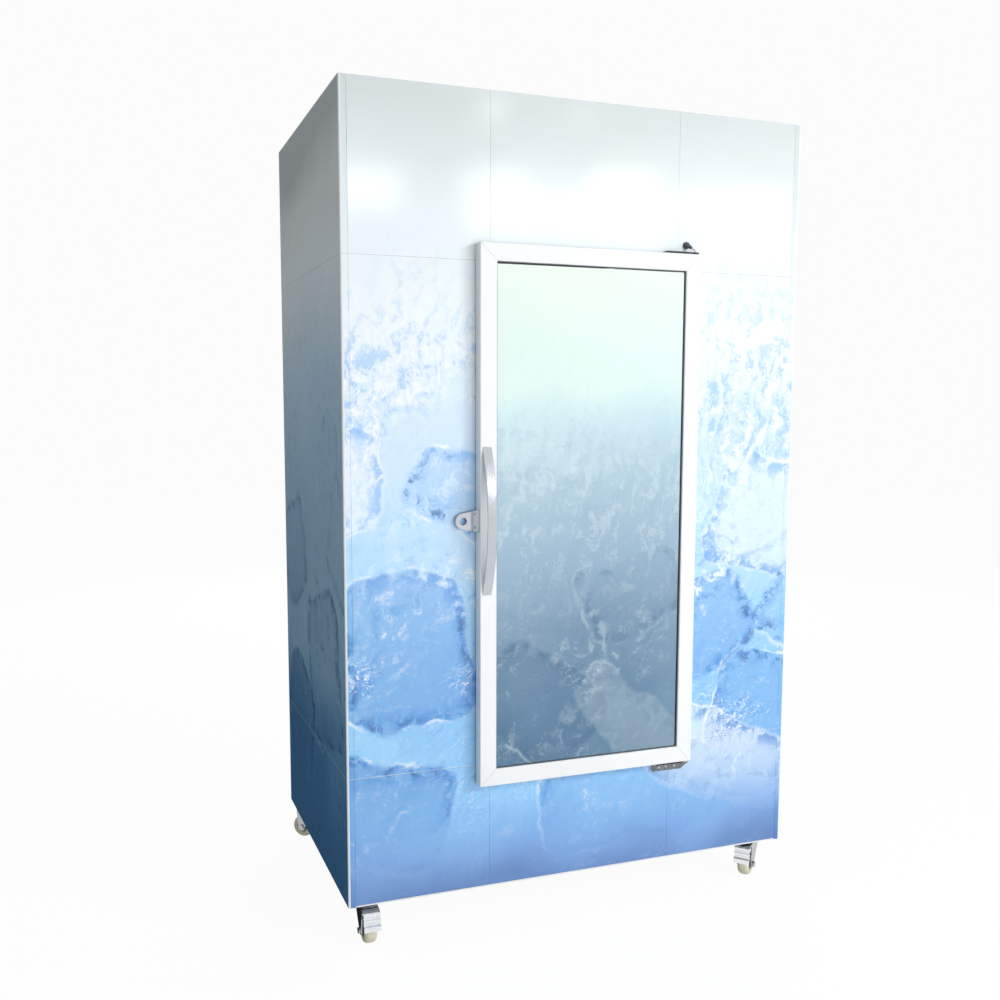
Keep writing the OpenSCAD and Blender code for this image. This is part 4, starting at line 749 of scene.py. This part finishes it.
# The rack's slats, the screws' heads and the controls, rounded the same way.
softened("floor_rack", 0.0012, "rack_slats", 2)
softened("panel_screws", 0.0007, "screw_heads")
softened("thermostat_knob", 0.0007, "dial_knob")
softened("power_switch", 0.0005, "rocker_cap", 2)

COIL_END = 0.0126  # from a coil's end to the middle of its first thick fin
THIN_HALF = 0.00012  # half a thin fin
FIN_CLEAR = 0.0004  # how far a thin fin stands back from the thick ones' edges


def thin_fins(coil, thick, thin, foot):
    """Thin fins for a coil with so many thick fins, so many thin ones between two, and feet so high."""
    low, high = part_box(coil)
    first, last = low.x + COIL_END, high.x - COIL_END
    pitch = (last - first) / (thick - 1) / (thin + 1)
    places = [first + pitch * i for i in range((thick - 1) * (thin + 1)) if i % (thin + 1)]
    return upright_blocks([((x - THIN_HALF, low.y + FIN_CLEAR, low.z + foot + FIN_CLEAR),
                            (x + THIN_HALF, high.y - FIN_CLEAR, high.z - FIN_CLEAR)) for x in places])


for coil, thick, thin, foot in (("evaporator_coil", 22, 5, 0.0132), ("condenser_coil", 24, 4, 0.008)):
    piece(coil + "_fins", thin_fins(coil, thick, thin, foot), LOOKS["fin_aluminium"], "cabinet")

MARKS, MARK_STEP, FIRST_MARK = 10, 30, -135  # how many, and their angles in degrees
MARK_HALF, MARK_IN = 0.0004, 0.0205  # half a mark's width, and its inner end from the knob's middle
END_MARK, MARK = 0.0045, 0.003  # how long they are
INK_BACK, INK_FRONT = 0.00002, 0.00012  # the ink's two faces, out from the cover


def marks_round_knob():
    """Marks round the thermostat's knob, longer at both ends of its travel."""
    low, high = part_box("thermostat_knob")
    knob = (low + high) / 2
    cover_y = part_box("rear_grille")[1].y
    bm = bmesh.new()
    for i in range(MARKS):
        long = END_MARK if i in (0, MARKS - 1) else MARK
        mark = upright_blocks([((-MARK_HALF, INK_BACK, MARK_IN), (MARK_HALF, INK_FRONT, MARK_IN + long))])
        turn = Matrix.Rotation(math.radians(MARK_STEP * i + FIRST_MARK), 4, "Y")
        mark.transform(Matrix.Translation((knob.x, cover_y, knob.z)) @ turn)
        shape = bpy.data.meshes.new("mark")
        mark.to_mesh(shape)
        mark.free()
        bm.from_mesh(shape)
        bpy.data.meshes.remove(shape)
    return bm


piece("dial_marks", marks_round_knob(), DARK_INK, "cabinet")

SEAL_WIDTH = 0.016


def bellows():
    """The magnetic seal: a flat base against the door, a bellows and the soft tube round the magnet."""
    low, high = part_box("door_gasket")
    back, face, width = low.y, high.y, SEAL_WIDTH
    section = [(0.0, back), (0.0, back + 0.0009), (0.0022, back + 0.0011), (0.0010, back + 0.0022),
               (0.0028, back + 0.0030), (0.0016, face - 0.0006), (0.0026, face), (width - 0.0052, face),
               (width - 0.0042, face - 0.0006), (width - 0.0046, back + 0.0030),
               (width - 0.0018, back + 0.0024), (width - 0.0034, back + 0.0014), (width, back + 0.0009),
               (width, back)]
    return ring(section, (low.x, low.z), (high.x, high.z))


piece("gasket_bellows", bellows(), LOOKS["gasket_grey"], "door", ("door_gasket",), 30.0)

# ------------------------------------------------------------------------- camera, light, stage

# The photo's camera, solved from corners of the cabinet, the door and the glass in the photo
LENS, SENSOR = 38.228, 36.0  # millimetres
LENS_SHIFT = (0.01291, 0.02677)
STANDPOINT = Vector((-1.1467, -2.7443, 1.2882))
RIGHTWARD = Vector((0.9371795, -0.34884546, 0.00119216)).normalized()
AHEAD = Vector((0.34694106, 0.93169563, -0.10758786)).normalized()

camera_data = bpy.data.cameras.new("camera")
camera_data.lens = LENS
camera_data.sensor_width = SENSOR
camera_data.shift_x, camera_data.shift_y = LENS_SHIFT
camera_data.clip_start = 0.05
camera_data.clip_end = 60.0
camera = bpy.data.objects.new("camera", camera_data)
bpy.context.scene.collection.objects.link(camera)
facing = Matrix((RIGHTWARD, RIGHTWARD.cross(AHEAD), -AHEAD)).transposed().to_4x4()
camera.matrix_world = Matrix.Translation(STANDPOINT) @ facing
bpy.context.scene.camera = camera


def softbox(name, place, target, size, power, glossy=True):
    """A rectangular light that faces a target. One that isn't glossy leaves no mirror image."""
    lamp = bpy.data.lights.new(name, "AREA")
    lamp.shape = "RECTANGLE"
    lamp.size, lamp.size_y = size
    lamp.energy = power
    obj = bpy.data.objects.new(name, lamp)
    bpy.context.scene.collection.objects.link(obj)
    obj.location = place
    obj.rotation_mode = "QUATERNION"
    obj.rotation_quaternion = (Vector(target) - Vector(place)).to_track_quat("-Z", "Y")
    obj.visible_glossy = glossy
    return obj


# Each light: its place, its target, its size in metres, its power in watts, and whether mirrors show it
softbox("key", (2.5, -3.6, 2.5), (0.0, -0.3, 1.15), (1.6, 0.7), 75.0, False)
softbox("fill", (0.3, -4.2, 0.8), (-0.1, -0.3, 0.7), (2.4, 1.6), 56.0, False)
softbox("back_fill", (1.8, 5.2, 2.4), (0.1, 0.4, 1.1), (3.0, 2.0), 90.0, False)
# Narrow lights that the top of the front and the bright metal mirror softly: x, z, width and height
CARD_Y = -5.5
CARD_POWER = 26.0  # for each square metre
CARDS = [(0.62, 2.86, 0.7, 0.26), (1.72, 2.98, 0.5, 0.14), (2.3, 2.8, 1.5, 0.2), (2.75, 3.02, 0.5, 0.2),
         (3.75, 2.94, 0.8, 0.22), (4.1, 2.7, 0.9, 0.12), (1.7, 3.5, 0.16, 0.16), (2.4, 3.52, 0.12, 0.1)]
for i, (x, z, wide, high) in enumerate(CARDS):
    power = CARD_POWER * wide * high
    card = softbox(f"card_{i}", (x, CARD_Y, z), (x * 0.2, -0.36, 1.8), (wide, high), power)
    card.visible_diffuse = False

world = bpy.data.worlds.new("studio")
bpy.context.scene.world = world
world.use_nodes = True
tree = world.node_tree
tree.nodes.clear()
output = tree.nodes.new("ShaderNodeOutputWorld")
paths = tree.nodes.new("ShaderNodeLightPath")
direction = tree.nodes.new("ShaderNodeTexCoord")
parts = tree.nodes.new("ShaderNodeSeparateXYZ")
tree.links.new(direction.outputs["Generated"], parts.inputs[0])


def world_math(operation, a, b=0.0, clamp=False):
    """One step of the studio's arithmetic, on numbers or sockets."""
    node = tree.nodes.new("ShaderNodeMath")
    node.operation = operation
    node.use_clamp = clamp
    for socket, value in zip(node.inputs, (a, b)):
        if isinstance(value, bpy.types.NodeSocket):
            tree.links.new(value, socket)
        else:
            socket.default_value = value
    return node.outputs[0]


WHITE = 0.972  # what the camera sees behind the object
AMBIENT = 0.42  # what lights it from all round
DIM_TOWARDS = (-0.55, 0.83)  # the middle of the dim part, in x and y
DIM_EDGE, DIM_SHARP = 0.42, 3.0  # where it starts, and how fast it sets in
DIM_AT_LEVEL, DIM_RISE, DIM_LEAST, DIM_MOST = 0.16, 0.55, 0.02, 0.35  # how bright it is, by height

# Shiny surfaces see white all round, but for a part of the studio behind and to the left, which is dim and
# darker low down.
leftward = world_math("MULTIPLY", parts.outputs["X"], DIM_TOWARDS[0])
behind = world_math("MULTIPLY", parts.outputs["Y"], DIM_TOWARDS[1])
beyond_edge = world_math("SUBTRACT", world_math("ADD", leftward, behind), DIM_EDGE)
dimness = world_math("MULTIPLY", beyond_edge, DIM_SHARP, True)
dim = world_math("ADD", world_math("MULTIPLY", parts.outputs["Z"], DIM_RISE), DIM_AT_LEVEL)
dim = world_math("MAXIMUM", world_math("MINIMUM", dim, DIM_MOST), DIM_LEAST)
fall = world_math("SUBTRACT", WHITE, dim)
mirrored_light = world_math("SUBTRACT", WHITE, world_math("MULTIPLY", dimness, fall))
seen = world_math("ADD", paths.outputs["Is Camera Ray"], paths.outputs["Is Transmission Ray"], True)
glossy = world_math("MULTIPLY", paths.outputs["Is Glossy Ray"], world_math("SUBTRACT", 1.0, seen))
other = world_math("SUBTRACT", world_math("SUBTRACT", 1.0, seen), glossy)
backdrop = world_math("MULTIPLY", seen, WHITE)
mirror_image = world_math("MULTIPLY", glossy, mirrored_light)
ambient = world_math("MULTIPLY", other, AMBIENT)
strength = world_math("ADD", world_math("ADD", backdrop, mirror_image), ambient)
light = tree.nodes.new("ShaderNodeBackground")
light.inputs["Color"].default_value = (1.0, 1.0, 1.0, 1.0)
tree.links.new(strength, light.inputs["Strength"])
tree.links.new(light.outputs[0], output.inputs["Surface"])

FLOOR_RADIUS, FLOOR_DROP = 14.0, 0.0005
FLOOR_GREY = (0.62, 0.63, 0.64, 1.0)
FLOOR_GLOW = (1.069, 1.069, 1.069, 1.0)
GLOW_SHARE = 0.88  # of what the camera sees of the floor; the rest takes shadows

floor_mesh = bpy.data.meshes.new("floor")
floor_bm = bmesh.new()
bmesh.ops.create_circle(floor_bm, cap_ends=True, segments=96, radius=FLOOR_RADIUS)
floor_bm.to_mesh(floor_mesh)
floor_bm.free()
floor = bpy.data.objects.new("floor", floor_mesh)
bpy.context.scene.collection.objects.link(floor)
floor.location.z = -FLOOR_DROP
floor.visible_glossy = False
ground = bpy.data.materials.new("floor")
ground.use_nodes = True
nodes, links = ground.node_tree.nodes, ground.node_tree.links
nodes.clear()
ground_out = nodes.new("ShaderNodeOutputMaterial")
ground_mix = nodes.new("ShaderNodeMixShader")
matte = nodes.new("ShaderNodeBsdfDiffuse")
matte.inputs["Color"].default_value = FLOOR_GREY
glow = nodes.new("ShaderNodeEmission")
glow.inputs["Color"].default_value = FLOOR_GLOW
ground_paths = nodes.new("ShaderNodeLightPath")
share = nodes.new("ShaderNodeMath")
share.operation = "MULTIPLY"
share.inputs[1].default_value = GLOW_SHARE
links.new(ground_paths.outputs["Is Camera Ray"], share.inputs[0])
links.new(share.outputs[0], ground_mix.inputs[0])
links.new(matte.outputs[0], ground_mix.inputs[1])
links.new(glow.outputs[0], ground_mix.inputs[2])
links.new(ground_mix.outputs[0], ground_out.inputs["Surface"])
floor_mesh.materials.append(ground)

bpy.context.scene.view_settings.view_transform = "Standard"
